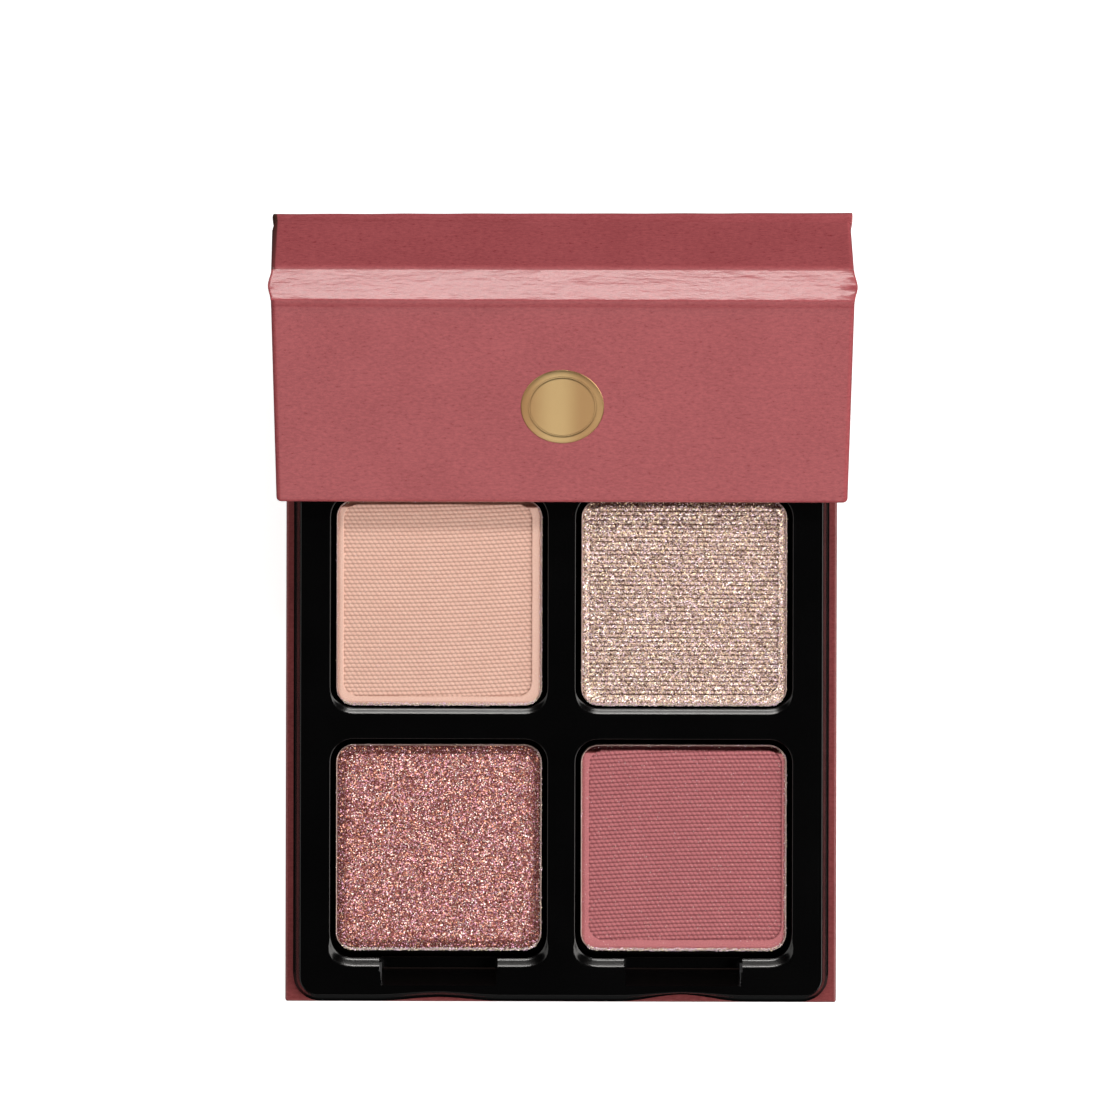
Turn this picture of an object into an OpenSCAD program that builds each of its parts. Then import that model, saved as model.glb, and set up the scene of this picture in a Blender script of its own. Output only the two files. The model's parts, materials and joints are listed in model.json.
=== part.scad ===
// Four-pan eyeshadow palette: a paper-wrapped greyboard book case with a glossy moulded tray,
// and a lid of three hinged panels that folds back over the spine and stands as a display tent.
// X runs to the right, Y runs from the front edge to the spine, Z is up.
// The origin is the centre of the underside, which rests on the table.

/* [Case] */
// Width of the base, left to right
case_w = 70; // [66:0.5:90]
// Depth of the base, front edge to the outside of the spine
case_d = 72.4; // [70:0.1:95]
// Thickness of the greyboard in the base
base_board_t = 1.5; // [1:0.1:2.5]
// Thickness of the greyboard in the spine and the lid
lid_board_t = 1.3; // [1:0.1:1.6]
// Thickness of the printed wrap and of the lining paper
paper_t = 0.2; // [0.1:0.05:0.3]
// Width of the wrap that turns over the edge of a board
turn_in = 2.5; // [2:0.5:6]

/* [Lid] */
// How far the lid stands past the base on each side
lid_side_overhang = 0.7; // [0:0.1:1.5]
// How far the closed lid stands past the front of the base
lid_front_overhang = 0.5; // [0:0.1:2]
// Length of the rear panel, from the spine crease to the far crease
rear_len = 27.2; // [22:0.1:30]
// Length of the middle panel, from the far crease to the ridge crease
middle_len = 15.1; // [13:0.1:18]
// Slope of the folded-back rear panel above the horizontal
rear_tilt = 7.3; // [5:0.1:12]
// Lean of the folded middle panel above the horizontal
middle_lean = 50.7; // [45:0.1:60]
// Air between the closed lid and the tray
lid_gap = 0.3; // [0.2:0.05:0.6]
// Air between the front panel's free edge and the tray while the lid stands open
rest_gap = 0.35; // [0.25:0.05:0.6]
// Bare paper between the spine crease and the rear board
spine_crease_w = 2; // [1.5:0.1:3]
// Air between the linings of the rear and middle panels where they fold together
far_fold_air = 0.43; // [0.3:0.01:1.5]
// Bare paper between the far crease and the middle board
far_crease_middle = 2.3; // [2:0.1:3]
// Bare paper between the middle board and the ridge crease
ridge_crease_middle = 3.4; // [2.5:0.1:4]
// Bare paper between the ridge crease and the front board
ridge_crease_front = 2.4; // [2:0.1:4]
// Diameter of the foil disc stamped on the front panel
foil_d = 10.3; // [6:0.1:20]
// Distance of the foil disc's centre from the ridge crease
foil_from_ridge = 17; // [12:0.5:20]

/* [Tray] */
// Height of the tray above its adhesive sheet
tray_h = 9.15; // [8:0.05:12]
// Thickness of the adhesive sheet under the tray
tape_t = 0.15; // [0.1:0.05:0.3]
// How far the foot of the tray stands in from the side of the base
tray_side_inset = 1; // [0.5:0.1:2]
// How far the foot of the tray stands in from the front of the base
tray_front_inset = 0.3; // [0.1:0.1:1]
// How far each side of the tray leans in from foot to rim
tray_draft = 1.25; // [0.5:0.05:2]
// Thickness of the tray's skirt and top plate
tray_wall = 1; // [0.8:0.1:1.2]
// Corner radius at the tray's rim
tray_corner_r = 2.25; // [1.5:0.25:4]
// Depth of the wells below the tray's top
well_depth = 5; // [4.8:0.1:6]
// Thickness of the walls and floor of a well
well_wall = 0.9; // [0.6:0.1:1]
// Width of the land between two wells
well_web = 3.5; // [2.5:0.1:5]
// Width of the finger scoop in front of each front pan
scoop_w = 14.4; // [10:0.1:18]
// Radius of the curved finger scoop
scoop_r = 6; // [5:0.5:7]
// Depth of the shallow thumb hollow in the front of the skirt
thumb_depth = 0.8; // [0.3:0.1:0.9]

/* [Pans] */
// Side of a square pan, outside
pan_size = 25.8; // [24:0.1:28]
// Height of a pan
pan_h = 4.2; // [3.5:0.1:4.5]
// Thickness of the tinplate
tin_t = 0.3; // [0.2:0.05:0.5]
// Corner radius of a pan, outside
pan_corner_r = 2.2; // [1.5:0.1:4]
// Air between a pan and the side of its well
pan_clear = 0.7; // [0.3:0.1:1]
// Thickness of the glue dot under a pan
glue_t = 0.2; // [0.1:0.05:0.3]
// Diameter of the glue dot under a pan
glue_d = 12; // [8:1:18]
// How far the pressed powder lies below the pan's rim
powder_drop = 0.3; // [0.1:0.05:1]
// Height of the sloped margin round the pressed powder
powder_bevel = 0.5; // [0.2:0.1:0.8]
// Air between the powder and the pan wall
powder_clear = 0.1; // [0.05:0.05:0.3]

/* [Magnets] */
// Length of a bar magnet
magnet_l = 8; // [5:0.5:9]
// Width of a bar magnet
magnet_w = 3; // [2:0.1:3.1]
// Thickness of the magnets under the tray
tray_magnet_t = 1.5; // [1:0.1:2]
// Thickness of the magnets in the lid
lid_magnet_t = 0.9; // [0.5:0.1:1]
// Distance of each magnet from the middle of the palette
magnet_x = 26.5; // [25:0.5:28]

/* [Hidden] */

$fn = 64;
fit = 0.05;                // slip fit round a magnet
foil_t = 0.05;             // foil and its lacquer
tray_rear_gap = 0.1;       // air between the foot of the tray and the spine's lining
post_r = 1.5;              // posts that carry the wells on the adhesive sheet
thumb_r = 40;              // curve of the thumb hollows in the front of the skirt
relief = 0.01;             // air at the mitred end of a sheet, where it meets the next one
through = 1;               // how far a cut runs past the face that it opens
spine_drop = 0.3;          // how far the spine board ends below the tray's top

// Heights, from the table up
base_t = base_board_t + 2 * paper_t;
tray_z = base_t + tape_t;
tray_top = tray_z + tray_h;
well_floor = tray_top - well_depth;
pan_z = well_floor + glue_t;
lid_t = lid_board_t + 2 * paper_t;
lid_top = tray_top + lid_gap + lid_t;

// Front to back
front_y = -case_d / 2;
spine_y = case_d / 2;
spine_inner_y = spine_y - lid_t;
spine_top = tray_top - spine_drop;
tray_front_y = front_y + tray_front_inset;
tray_rear_y = spine_inner_y - tray_rear_gap;
tray_w = case_w - 2 * tray_side_inset;
tray_d = tray_rear_y - tray_front_y;
tray_y = (tray_rear_y + tray_front_y) / 2;

// Wells and pans
well_size = pan_size + 2 * pan_clear;
well_r = pan_corner_r + pan_clear;
well_outer = well_size + 2 * well_wall;
pitch = well_size + well_web;
left_x = -pitch / 2;
right_x = pitch / 2;
rear_row_y = tray_y + pitch / 2;
front_row_y = tray_y - pitch / 2;
well_front_y = front_row_y - well_size / 2;
rim_front_y = tray_front_y + tray_draft;
land_under = tray_top - tray_wall;

// The finger scoop is a trough whose axis runs along X, above the land and just inside the well
scoop_y = well_front_y + 1;
scoop_z = tray_top + scoop_r / 2;

// The thumb hollow is an upright cylinder that just bites into the foot of the skirt
thumb_y = tray_front_y - thumb_r + thumb_depth;

// Magnets stand under the front land, and in the lid just above it when it is closed
magnet_y = (well_front_y - well_wall + rim_front_y + tray_wall) / 2;

// The lid's three creases as [y, z] in the outer face of the wrap, and the directions of the panels
lid_w = case_w + 2 * lid_side_overhang;
front_len = case_d + lid_front_overhang - rear_len - middle_len;
rear_dir = rear_tilt;
middle_dir = 180 - middle_lean;
spine_crease = [spine_y, lid_top];
far_crease = spine_crease + rear_len * [cos(rear_dir), sin(rear_dir)];
ridge_crease = far_crease + middle_len * [cos(middle_dir), sin(middle_dir)];
// The front panel slopes down until the inner corner of its free edge is rest_gap above the tray
edge_drop = ridge_crease[1] - tray_top - rest_gap;
front_slope = asin(edge_drop / norm([front_len, lid_t])) - atan2(lid_t, front_len);
front_dir = 180 + front_slope;
far_fold = middle_dir - rear_dir;
far_crease_rear = lid_t * tan(far_fold / 2) + far_fold_air;
ridge_fold = front_dir - middle_dir;
lid_magnet_u = spine_y - magnet_y - rear_len - middle_len;

wrap_red = [0.62, 0.31, 0.34];
board_grey = [0.62, 0.6, 0.56];
tray_black = [0.03, 0.03, 0.035];
tin = [0.8, 0.78, 0.74];
foil_gold = [0.78, 0.64, 0.38];
steel_grey = [0.6, 0.6, 0.62];
glue_clear = [0.9, 0.88, 0.8];
peach = [0.85, 0.67, 0.6];
champagne = [0.77, 0.64, 0.58];
rose_glitter = [0.66, 0.42, 0.41];
dusty_rose = [0.66, 0.38, 0.4];

// A square with rounded corners, centred
module rounded_square(size, r) {
    square([size - 2 * r, size], center = true);
    square([size, size - 2 * r], center = true);
    for (x = [-1, 1], y = [-1, 1]) translate([x, y] * (size / 2 - r)) circle(r);
}

// A block centred in X and Y that stands from z0 to z1
module block(w, d, z0, z1) {
    translate([-w / 2, -d / 2, z0]) cube([w, d, z1 - z0]);
}

// A block between two depths, centred in X
module band(w, y0, y1, z0, z1) {
    translate([-w / 2, y0, z0]) cube([w, y1 - y0, z1 - z0]);
}

// A round-cornered block whose sides lean in by draft, w by d at its foot
module drafted_block(w, d, h, draft, r_top) {
    half_w = w / 2;
    half_d = d / 2;
    corner = r_top + draft;
    rotate([90, 0, 0]) linear_extrude(d - 2 * corner, center = true)
        polygon([[-half_w, 0], [half_w, 0], [half_w - draft, h], [draft - half_w, h]]);
    rotate([90, 0, 90]) linear_extrude(w - 2 * corner, center = true)
        polygon([[-half_d, 0], [half_d, 0], [half_d - draft, h], [draft - half_d, h]]);
    for (x = [-1, 1], y = [-1, 1])
        translate([x * (half_w - corner), y * (half_d - corner), 0]) cylinder(h, corner, r_top);
}

// Puts a lid panel in place. It is drawn as it lies when closed: its crease on the X axis, its
// outer face at z = 0 and its length towards -Y.
module panel_at(crease, dir) {
    translate([0, crease[0], crease[1]]) rotate([dir - 180, 0, 0]) children();
}

// A layer of a lid panel, from u0 to u1 along it and from depth n0 to n1 under its outer face
module layer(w, u0, u1, n0, n1) {
    band(w, -u1, -u0, -n1, -n0);
}

// The printed sheet of a panel between two creases, with its ends mitred for the folds there
module sheet(len, fold0, fold1) {
    rotate([90, 0, 90]) linear_extrude(lid_w, center = true)
        polygon([
            [-relief, 0], [relief - len, 0],
            [relief + paper_t * tan(fold1 / 2) - len, -paper_t],
            [-relief - paper_t * tan(fold0 / 2), -paper_t]
        ]);
}

// A greyboard that lies inside the wrap
module panel_board(u0, u1) {
    layer(lid_w - 2 * paper_t, u0, u1, paper_t, paper_t + lid_board_t);
}

// The wrap of one panel: its sheet, the edges that it covers and the strips turned in behind
module panel_wrap(len, fold0, fold1, u0, u1, free_edge) {
    sheet(len, fold0, fold1);
    difference() {
        layer(lid_w, u0, u1 + free_edge * paper_t, 0, lid_t);
        panel_board(u0, u1);
        panel_liner(u0, u1, free_edge);
    }
}

// The lining paper of one panel, flush between the turned-in strips
module panel_liner(u0, u1, free_edge) {
    layer(lid_w - 2 * turn_in, u0, u1 - free_edge * (turn_in - paper_t), lid_t - paper_t, lid_t);
}

module base_board() {
    color(board_grey)
        band(case_w - 2 * paper_t, front_y + paper_t, spine_inner_y, paper_t, paper_t + base_board_t);
}

// One sheet: under the base, round its edges, turned in on top, and up the outside of the spine
module base_wrap() {
    color(wrap_red) {
        difference() {
            band(case_w, front_y, spine_y, 0, base_t);
            base_board();
            band(case_w - 2 * turn_in, front_y + turn_in, spine_y, base_t - paper_t, base_t + through);
            band(case_w - 2 * paper_t, spine_inner_y, spine_y - paper_t, paper_t, base_t + through);
        }
        difference() {
            band(case_w, spine_inner_y, spine_y, base_t, spine_top);
            band(case_w - 2 * paper_t, spine_inner_y - through, spine_y - paper_t,
                base_t - through, spine_top + through);
        }
        rotate([90, 0, 90]) linear_extrude(case_w, center = true)
            polygon([
                [spine_y - paper_t, spine_top], [spine_y, spine_top],
                [spine_y, lid_top], [spine_y - paper_t, lid_top - paper_t]
            ]);
    }
}

module spine_board() {
    color(board_grey)
        band(case_w - 2 * paper_t, spine_y - paper_t - lid_board_t, spine_y - paper_t, paper_t, spine_top);
}

module spine_liner() {
    color(wrap_red)
        band(case_w - 2 * turn_in, spine_inner_y, spine_inner_y + paper_t, base_t, spine_top);
}

module tray_tape() {
    color(glue_clear)
        band(tray_w - 2 * tray_wall, tray_front_y + tray_wall, tray_rear_y - tray_wall, base_t, tray_z);
}

// Calls its child once for each pan, at the pan's centre
module each_pan() {
    for (x = [left_x, right_x], y = [front_row_y, rear_row_y]) translate([x, y, 0]) children();
}

// Calls its child once for each magnet, left and right
module each_magnet() {
    for (side = [-1, 1]) translate([side * magnet_x, 0, 0]) children();
}

// A trough across the front land; its radius is that of the cut or of the shell round it
module scoop(r, w) {
    for (x = [left_x, right_x])
        translate([x, scoop_y, scoop_z]) rotate([0, 90, 0]) cylinder(w, r, r, center = true);
}

module tray() {
    color(tray_black) difference() {
        union() {
            difference() {
                translate([0, tray_y, tray_z])
                    drafted_block(tray_w, tray_d, tray_h, tray_draft, tray_corner_r);
                translate([0, tray_y, tray_z - fit])
                    drafted_block(tray_w - 2 * tray_wall, tray_d - 2 * tray_wall,
                        tray_h - tray_wall + fit, tray_draft, tray_corner_r - tray_wall);
            }
            each_pan() translate([0, 0, well_floor - well_wall])
                linear_extrude(land_under - well_floor + well_wall + fit)
                    rounded_square(well_outer, well_r + well_wall);
            each_pan() for (x = [-1, 1], y = [-1, 1])
                translate([x, y, 0] * pan_size / 4 + [0, 0, tray_z])
                    cylinder(well_floor - tray_z, post_r, post_r);
            each_magnet()
                band(magnet_l + 2 * well_wall, rim_front_y + tray_wall / 2, well_front_y - well_wall / 2,
                    land_under - tray_magnet_t, land_under + fit);
            intersection() {
                scoop(scoop_r + well_wall, scoop_w + 2 * well_wall);
                band(tray_w, rim_front_y + tray_wall / 2, well_front_y, well_floor, land_under + fit);
            }
        }
        each_pan() translate([0, 0, well_floor])
            linear_extrude(well_depth + through) rounded_square(well_size, well_r);
        each_magnet()
            band(magnet_l + 2 * fit, magnet_y - magnet_w / 2 - fit, magnet_y + magnet_w / 2 + fit,
                land_under - tray_magnet_t - through, land_under);
        intersection() {
            scoop(scoop_r, scoop_w);
            band(tray_w, rim_front_y, well_front_y + well_wall, well_floor, tray_top + through);
        }
        for (x = [left_x, right_x])
            translate([x, thumb_y, 0]) cylinder(lid_top, thumb_r, thumb_r, $fn = 128);
    }
}

module tray_magnets() {
    color(steel_grey) each_magnet()
        band(magnet_l, magnet_y - magnet_w / 2, magnet_y + magnet_w / 2,
            land_under - tray_magnet_t, land_under);
}

// A drawn tinplate pan, open at the top
module pan(x, y) {
    color(tin) translate([x, y, pan_z]) difference() {
        linear_extrude(pan_h) rounded_square(pan_size, pan_corner_r);
        translate([0, 0, tin_t]) linear_extrude(pan_h)
            rounded_square(pan_size - 2 * tin_t, pan_corner_r - tin_t);
    }
}

// A pressed cake of powder with a sloped margin
module powder(x, y, tint) {
    side = pan_size - 2 * tin_t - 2 * powder_clear;
    top = pan_h - tin_t - powder_drop;
    r_top = pan_corner_r - tin_t - powder_clear - powder_bevel;
    color(tint) translate([x, y, pan_z + tin_t]) {
        linear_extrude(top - powder_bevel) rounded_square(side, r_top + powder_bevel);
        translate([0, 0, top - powder_bevel])
            drafted_block(side, side, powder_bevel, powder_bevel, r_top);
    }
}

module glue(x, y) {
    color(glue_clear) translate([x, y, well_floor]) cylinder(glue_t, glue_d / 2, glue_d / 2);
}

module rear_left_pan() { pan(left_x, rear_row_y); }
module rear_right_pan() { pan(right_x, rear_row_y); }
module front_left_pan() { pan(left_x, front_row_y); }
module front_right_pan() { pan(right_x, front_row_y); }
module rear_left_powder() { powder(left_x, rear_row_y, peach); }
module rear_right_powder() { powder(right_x, rear_row_y, champagne); }
module front_left_powder() { powder(left_x, front_row_y, rose_glitter); }
module front_right_powder() { powder(right_x, front_row_y, dusty_rose); }
module rear_left_glue() { glue(left_x, rear_row_y); }
module rear_right_glue() { glue(right_x, rear_row_y); }
module front_left_glue() { glue(left_x, front_row_y); }
module front_right_glue() { glue(right_x, front_row_y); }

module rear_panel_board() {
    color(board_grey) panel_at(spine_crease, rear_dir)
        panel_board(spine_crease_w, rear_len - far_crease_rear);
}

module rear_panel_wrap() {
    color(wrap_red) panel_at(spine_crease, rear_dir)
        panel_wrap(rear_len, 90, far_fold, spine_crease_w, rear_len - far_crease_rear, 0);
}

module rear_panel_liner() {
    color(wrap_red) panel_at(spine_crease, rear_dir)
        panel_liner(spine_crease_w, rear_len - far_crease_rear, 0);
}

module middle_panel_board() {
    color(board_grey) panel_at(far_crease, middle_dir)
        panel_board(far_crease_middle, middle_len - ridge_crease_middle);
}

module middle_panel_wrap() {
    color(wrap_red) panel_at(far_crease, middle_dir)
        panel_wrap(middle_len, far_fold, ridge_fold, far_crease_middle,
            middle_len - ridge_crease_middle, 0);
}

module middle_panel_liner() {
    color(wrap_red) panel_at(far_crease, middle_dir)
        panel_liner(far_crease_middle, middle_len - ridge_crease_middle, 0);
}

// The front board has a pocket for each magnet, open towards the tray
module front_panel_board() {
    color(board_grey) panel_at(ridge_crease, front_dir) difference() {
        panel_board(ridge_crease_front, front_len - paper_t);
        each_magnet()
            layer(magnet_l + 2 * fit, lid_magnet_u - magnet_w / 2 - fit, lid_magnet_u + magnet_w / 2 + fit,
                lid_t - paper_t - lid_magnet_t, lid_t);
    }
}

module front_panel_wrap() {
    color(wrap_red) panel_at(ridge_crease, front_dir)
        panel_wrap(front_len, ridge_fold, 0, ridge_crease_front, front_len - paper_t, 1);
}

module front_panel_liner() {
    color(wrap_red) panel_at(ridge_crease, front_dir)
        panel_liner(ridge_crease_front, front_len - paper_t, 1);
}

module foil_disc() {
    color(foil_gold) panel_at(ridge_crease, front_dir)
        translate([0, -foil_from_ridge, 0]) cylinder(foil_t, foil_d / 2, foil_d / 2);
}

module lid_magnets() {
    color(steel_grey) panel_at(ridge_crease, front_dir) each_magnet()
        layer(magnet_l, lid_magnet_u - magnet_w / 2, lid_magnet_u + magnet_w / 2,
            lid_t - paper_t - lid_magnet_t, lid_t - paper_t);
}

base_board();
base_wrap();
spine_board();
spine_liner();
tray_tape();
tray();
tray_magnets();
rear_left_pan();
rear_right_pan();
front_left_pan();
front_right_pan();
rear_left_powder();
rear_right_powder();
front_left_powder();
front_right_powder();
rear_left_glue();
rear_right_glue();
front_left_glue();
front_right_glue();
rear_panel_board();
rear_panel_wrap();
rear_panel_liner();
middle_panel_board();
middle_panel_wrap();
middle_panel_liner();
front_panel_board();
front_panel_wrap();
front_panel_liner();
foil_disc();
lid_magnets();
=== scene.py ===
# %% [markdown]
# # An eyeshadow palette whose lid folds back into a stand
# The palette is a small bookbinder's case: greyboard panels wrapped in printed paper, with a
# black moulded tray glued inside. Four tin pans of pressed powder sit in the tray. The lid is
# three panels joined by paper creases, and here it stands folded back as a tent.
# The CAD model already holds every piece at its real size. This lesson dresses that fixed frame:
# papers with rounded edges, creases that bend, a moulded tray, pressed powders and foil.

# %% Load the frame
import json
import math
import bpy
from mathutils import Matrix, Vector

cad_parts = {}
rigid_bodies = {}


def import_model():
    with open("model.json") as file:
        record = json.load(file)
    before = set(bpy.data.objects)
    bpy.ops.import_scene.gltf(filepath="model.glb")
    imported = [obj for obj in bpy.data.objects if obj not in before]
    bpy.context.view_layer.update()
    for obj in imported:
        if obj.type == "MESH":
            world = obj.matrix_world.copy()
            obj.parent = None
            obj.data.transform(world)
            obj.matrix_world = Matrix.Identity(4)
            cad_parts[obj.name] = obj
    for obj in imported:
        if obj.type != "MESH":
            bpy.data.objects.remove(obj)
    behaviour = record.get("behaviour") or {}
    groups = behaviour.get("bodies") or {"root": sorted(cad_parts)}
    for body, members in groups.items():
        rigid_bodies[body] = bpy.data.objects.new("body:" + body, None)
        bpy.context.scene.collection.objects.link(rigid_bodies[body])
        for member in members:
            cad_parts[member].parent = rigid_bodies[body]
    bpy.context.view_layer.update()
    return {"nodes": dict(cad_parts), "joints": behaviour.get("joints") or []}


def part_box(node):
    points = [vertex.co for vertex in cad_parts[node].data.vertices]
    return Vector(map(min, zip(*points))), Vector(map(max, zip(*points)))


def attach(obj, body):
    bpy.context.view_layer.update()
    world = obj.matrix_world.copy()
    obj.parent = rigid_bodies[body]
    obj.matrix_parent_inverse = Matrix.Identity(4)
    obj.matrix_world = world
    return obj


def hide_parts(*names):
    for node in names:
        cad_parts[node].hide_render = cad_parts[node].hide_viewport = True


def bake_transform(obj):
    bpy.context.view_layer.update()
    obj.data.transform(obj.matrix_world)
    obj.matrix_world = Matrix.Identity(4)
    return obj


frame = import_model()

from types import SimpleNamespace

import bmesh
import bpy
import numpy as np
from mathutils import Vector
from mathutils.geometry import delaunay_2d_cdt

MM = 0.001


def box_mm(node):
    """The lowest and highest corner of a CAD node, in millimetres."""
    return [np.array(corner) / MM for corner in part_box(node)]


print("nodes:", len(frame["nodes"]))

# %% [markdown]
# ## A short way to write node maths
# Materials and Geometry Nodes share the same Math node. Placing those nodes by hand makes long
# code, so one small class stands for a node's output and lets `a * 2 + b` add the nodes. Every
# node comes from one method, `add`, which sets the node up before it fills its sockets.


# %% Node kit
class Wire:
    """An output of a node. Arithmetic on it adds Math nodes to its tree."""

    def __init__(self, tree, socket):
        self.tree = tree
        self.socket = socket

    def __rsub__(self, other):
        return self.tree.maths("SUBTRACT", other, self)

    def within(self, reach):
        """This value, kept between -reach and reach."""
        return self.least(reach).most(reach * -1)

    def axes(self):
        """The three parts of a vector."""
        split = self.tree.add("ShaderNodeSeparateXYZ", None, {0: self}).socket.node
        return [Wire(self.tree, out) for out in split.outputs]

    def step(self, low, high, start=0.0, end=1.0):
        """A smooth ramp from start to end as this value goes from low to high."""
        sockets = {"Value": self, "From Min": low, "From Max": high, "To Min": start, "To Max": end}
        return self.tree.add("ShaderNodeMapRange", {"interpolation_type": "SMOOTHSTEP"}, sockets)


SIGNS = {
    "__add__": "ADD", "__radd__": "ADD", "__sub__": "SUBTRACT", "__mul__": "MULTIPLY",
    "__rmul__": "MULTIPLY", "__truediv__": "DIVIDE", "__pow__": "POWER", "__gt__": "GREATER_THAN",
    "__abs__": "ABSOLUTE", "least": "MINIMUM", "most": "MAXIMUM", "root": "SQRT", "sine": "SINE",
}
for sign, operation in SIGNS.items():
    setattr(Wire, sign, lambda *wires, operation=operation: wires[0].tree.maths(operation, *wires))


class Tree:
    """A node tree, and the one method that adds a node to it."""

    def __init__(self, tree):
        self.tree = tree

    def add(self, kind, settings=None, sockets=None, output=0):
        made = self.tree.nodes.new(kind)
        for key, value in (settings or {}).items():
            setattr(made, key, value)
        for key, value in (sockets or {}).items():
            if isinstance(value, Wire):
                self.tree.links.new(value.socket, made.inputs[key])
            else:
                made.inputs[key].default_value = value
        return Wire(self, made.outputs[output])

    def maths(self, operation, *values):
        return self.add("ShaderNodeMath", {"operation": operation}, dict(enumerate(values)))

    def vector(self, x, y, z):
        return self.add("ShaderNodeCombineXYZ", None, {0: x, 1: y, 2: z})

    def vmaths(self, operation, *values):
        return self.add("ShaderNodeVectorMath", {"operation": operation}, dict(enumerate(values)))

    def vscale(self, vector, factor):
        return self.add("ShaderNodeVectorMath", {"operation": "SCALE"}, {0: vector, "Scale": factor})

    def carried(self, name):
        """The number that the points of the mesh carry under a name."""
        return self.add("ShaderNodeAttribute", {"attribute_name": name}, None, "Fac")

    def noise(self, place, scale, detail=2.0, roughness=0.5, stretch=None, output=0):
        """Smooth noise, with scale in features a metre. A stretch below 1 draws it out that way."""
        if stretch:
            place = self.vmaths("MULTIPLY", place, stretch)
        sockets = {"Vector": place, "Scale": scale, "Detail": detail, "Roughness": roughness}
        return self.add("ShaderNodeTexNoise", None, sockets, output)

    def cells(self, place, scale, output=0):
        """Small cells, with scale in cells a metre: how far their middle is, or their colour."""
        return self.add("ShaderNodeTexVoronoi", None, {"Vector": place, "Scale": scale}, output)

    def bump(self, height, depth_mm, normal=None):
        """A normal bent by a height from 0 to 1 that stands for depth_mm."""
        under = {"Normal": normal} if normal else {}
        return self.add("ShaderNodeBump", None, {"Height": height, "Distance": depth_mm * MM, **under})

    def mix(self, share, first, second):
        """A colour between two, each a wire or red, green and blue."""
        first, second = [c if isinstance(c, Wire) else (*c, 1.0) for c in (first, second)]
        return self.add("ShaderNodeMix", {"data_type": "RGBA"}, {0: share, 6: first, 7: second}, 2)


print("node kit ready:", len(SIGNS), "signs")

# %% [markdown]
# ## Finishes
# Each finish is one Principled shader. Numbers that are the same all over are set on the shader
# itself; only what varies over a surface is wired, and a pattern function makes those wires. It
# reads Object coordinates, which are metres here, so a scale of 3000 gives features a third of a
# millimetre apart.


# %% Finish kit
def finish(name, fixed, pattern):
    """A material with one Principled shader: fixed holds constants for its inputs, and
    pattern(tree, place) returns wires for others."""
    material = bpy.data.materials.new(name)
    material.use_nodes = True
    shader = next(n for n in material.node_tree.nodes if n.type == "BSDF_PRINCIPLED")
    for key, value in fixed.items():
        shader.inputs[key].default_value = value
    tree = Tree(material.node_tree)
    for key, wire in pattern(tree, tree.add("ShaderNodeTexCoord", output="Object")).items():
        material.node_tree.links.new(wire.socket, shader.inputs[key])
    print("made", name)
    return material


print("finish kit ready")

# %% Paper, lining and board
# Painted shade: the dark brown that a shaded left edge of the lid is painted.
EDGE_SHADE_COLOUR = (0.05, 0.028, 0.018)
WRAP_INKS = (0.395, 0.075, 0.086), (0.575, 0.134, 0.15)
# Painted shade: the base cover is the same paper as the wrap, printed darker for the shade beside the tray.
SHADED_BASE_INKS = (0.22, 0.046, 0.048), (0.36, 0.082, 0.084)
LINING_INKS = (0.31, 0.088, 0.096), (0.37, 0.112, 0.118)


def paper(name, inks, roughness, grain_mm, crumple_mm=0.0):
    """Printed paper: faint clouds in the ink, and a fine tooth that also stirs its gloss. Where the
    mesh carries a number named edge, the colour is darkened as painted shade on a shaded board edge."""
    def pattern(tree, place):
        clouds = tree.noise(place, 120, 2)
        tooth = tree.noise(place, 3600, 3, 0.65, stretch=(0.45, 1.0, 1.0))
        fleck = tree.noise(place, 9000, 1)
        shade = (clouds * 0.14 + tooth * 0.6 + fleck * 0.26).step(0.3, 0.7)
        # Painted shade on the left edge, where the mesh carries edge.
        painted_edge_shade = tree.carried("edge") * (tooth * 0.4 + 0.7)
        crumple = None
        if crumple_mm:
            folds = tree.noise(place, 1500, 2, stretch=(0.35, 1.0, 1.0))
            streaks = tree.noise(place, 1300, 2, stretch=(0.1, 1.0, 1.0))
            crumple = tree.bump(folds * 0.6 + streaks * 0.4, crumple_mm)
        return {"Base Color": tree.mix(painted_edge_shade, tree.mix(shade, *inks), EDGE_SHADE_COLOUR),
                "Roughness": tooth * 0.1 + (roughness - 0.05),
                "Normal": tree.bump(tooth * 0.7 + fleck * 0.3, grain_mm, crumple)}

    return finish(name, {"Specular IOR Level": 0.45}, pattern)


def board(tree, place):
    """Greyboard: pulped waste paper with light and dark fibres."""
    fibre = tree.noise(place, 2400, 4, 0.7, stretch=(1.0, 1.0, 4.0))
    return {"Base Color": tree.mix(fibre.step(0.35, 0.7), (0.22, 0.2, 0.18), (0.5, 0.47, 0.42)),
            "Normal": tree.bump(fibre, 0.03)}


wrap_paper = paper("wrap_paper", WRAP_INKS, 0.29, 0.0028)
fold_paper = paper("fold_paper", WRAP_INKS, 0.25, 0.0028, crumple_mm=0.055)
# The base cover's paper, darkened as painted shade.
base_paper_shaded = paper("base_paper_shaded", SHADED_BASE_INKS, 0.32, 0.003)
lining_paper = paper("lining_paper", LINING_INKS, 0.68, 0.010)
greyboard = finish("greyboard", {"Roughness": 0.9, "Specular IOR Level": 0.2}, board)


# %% Plastic, metals and adhesive
def plastic(tree, place):
    """Black polystyrene off a polished mould, with a trace of flow in its gloss."""
    flow = tree.noise(place, 90, 2)
    pores = tree.noise(place, 5200, 2)
    return {"Base Color": tree.mix(flow, (0.0006, 0.0006, 0.0007), (0.001, 0.001, 0.0012)),
            "Roughness": flow * 0.06 + pores * 0.06 + 0.16,
            "Normal": tree.bump(pores, 0.002)}


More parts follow.
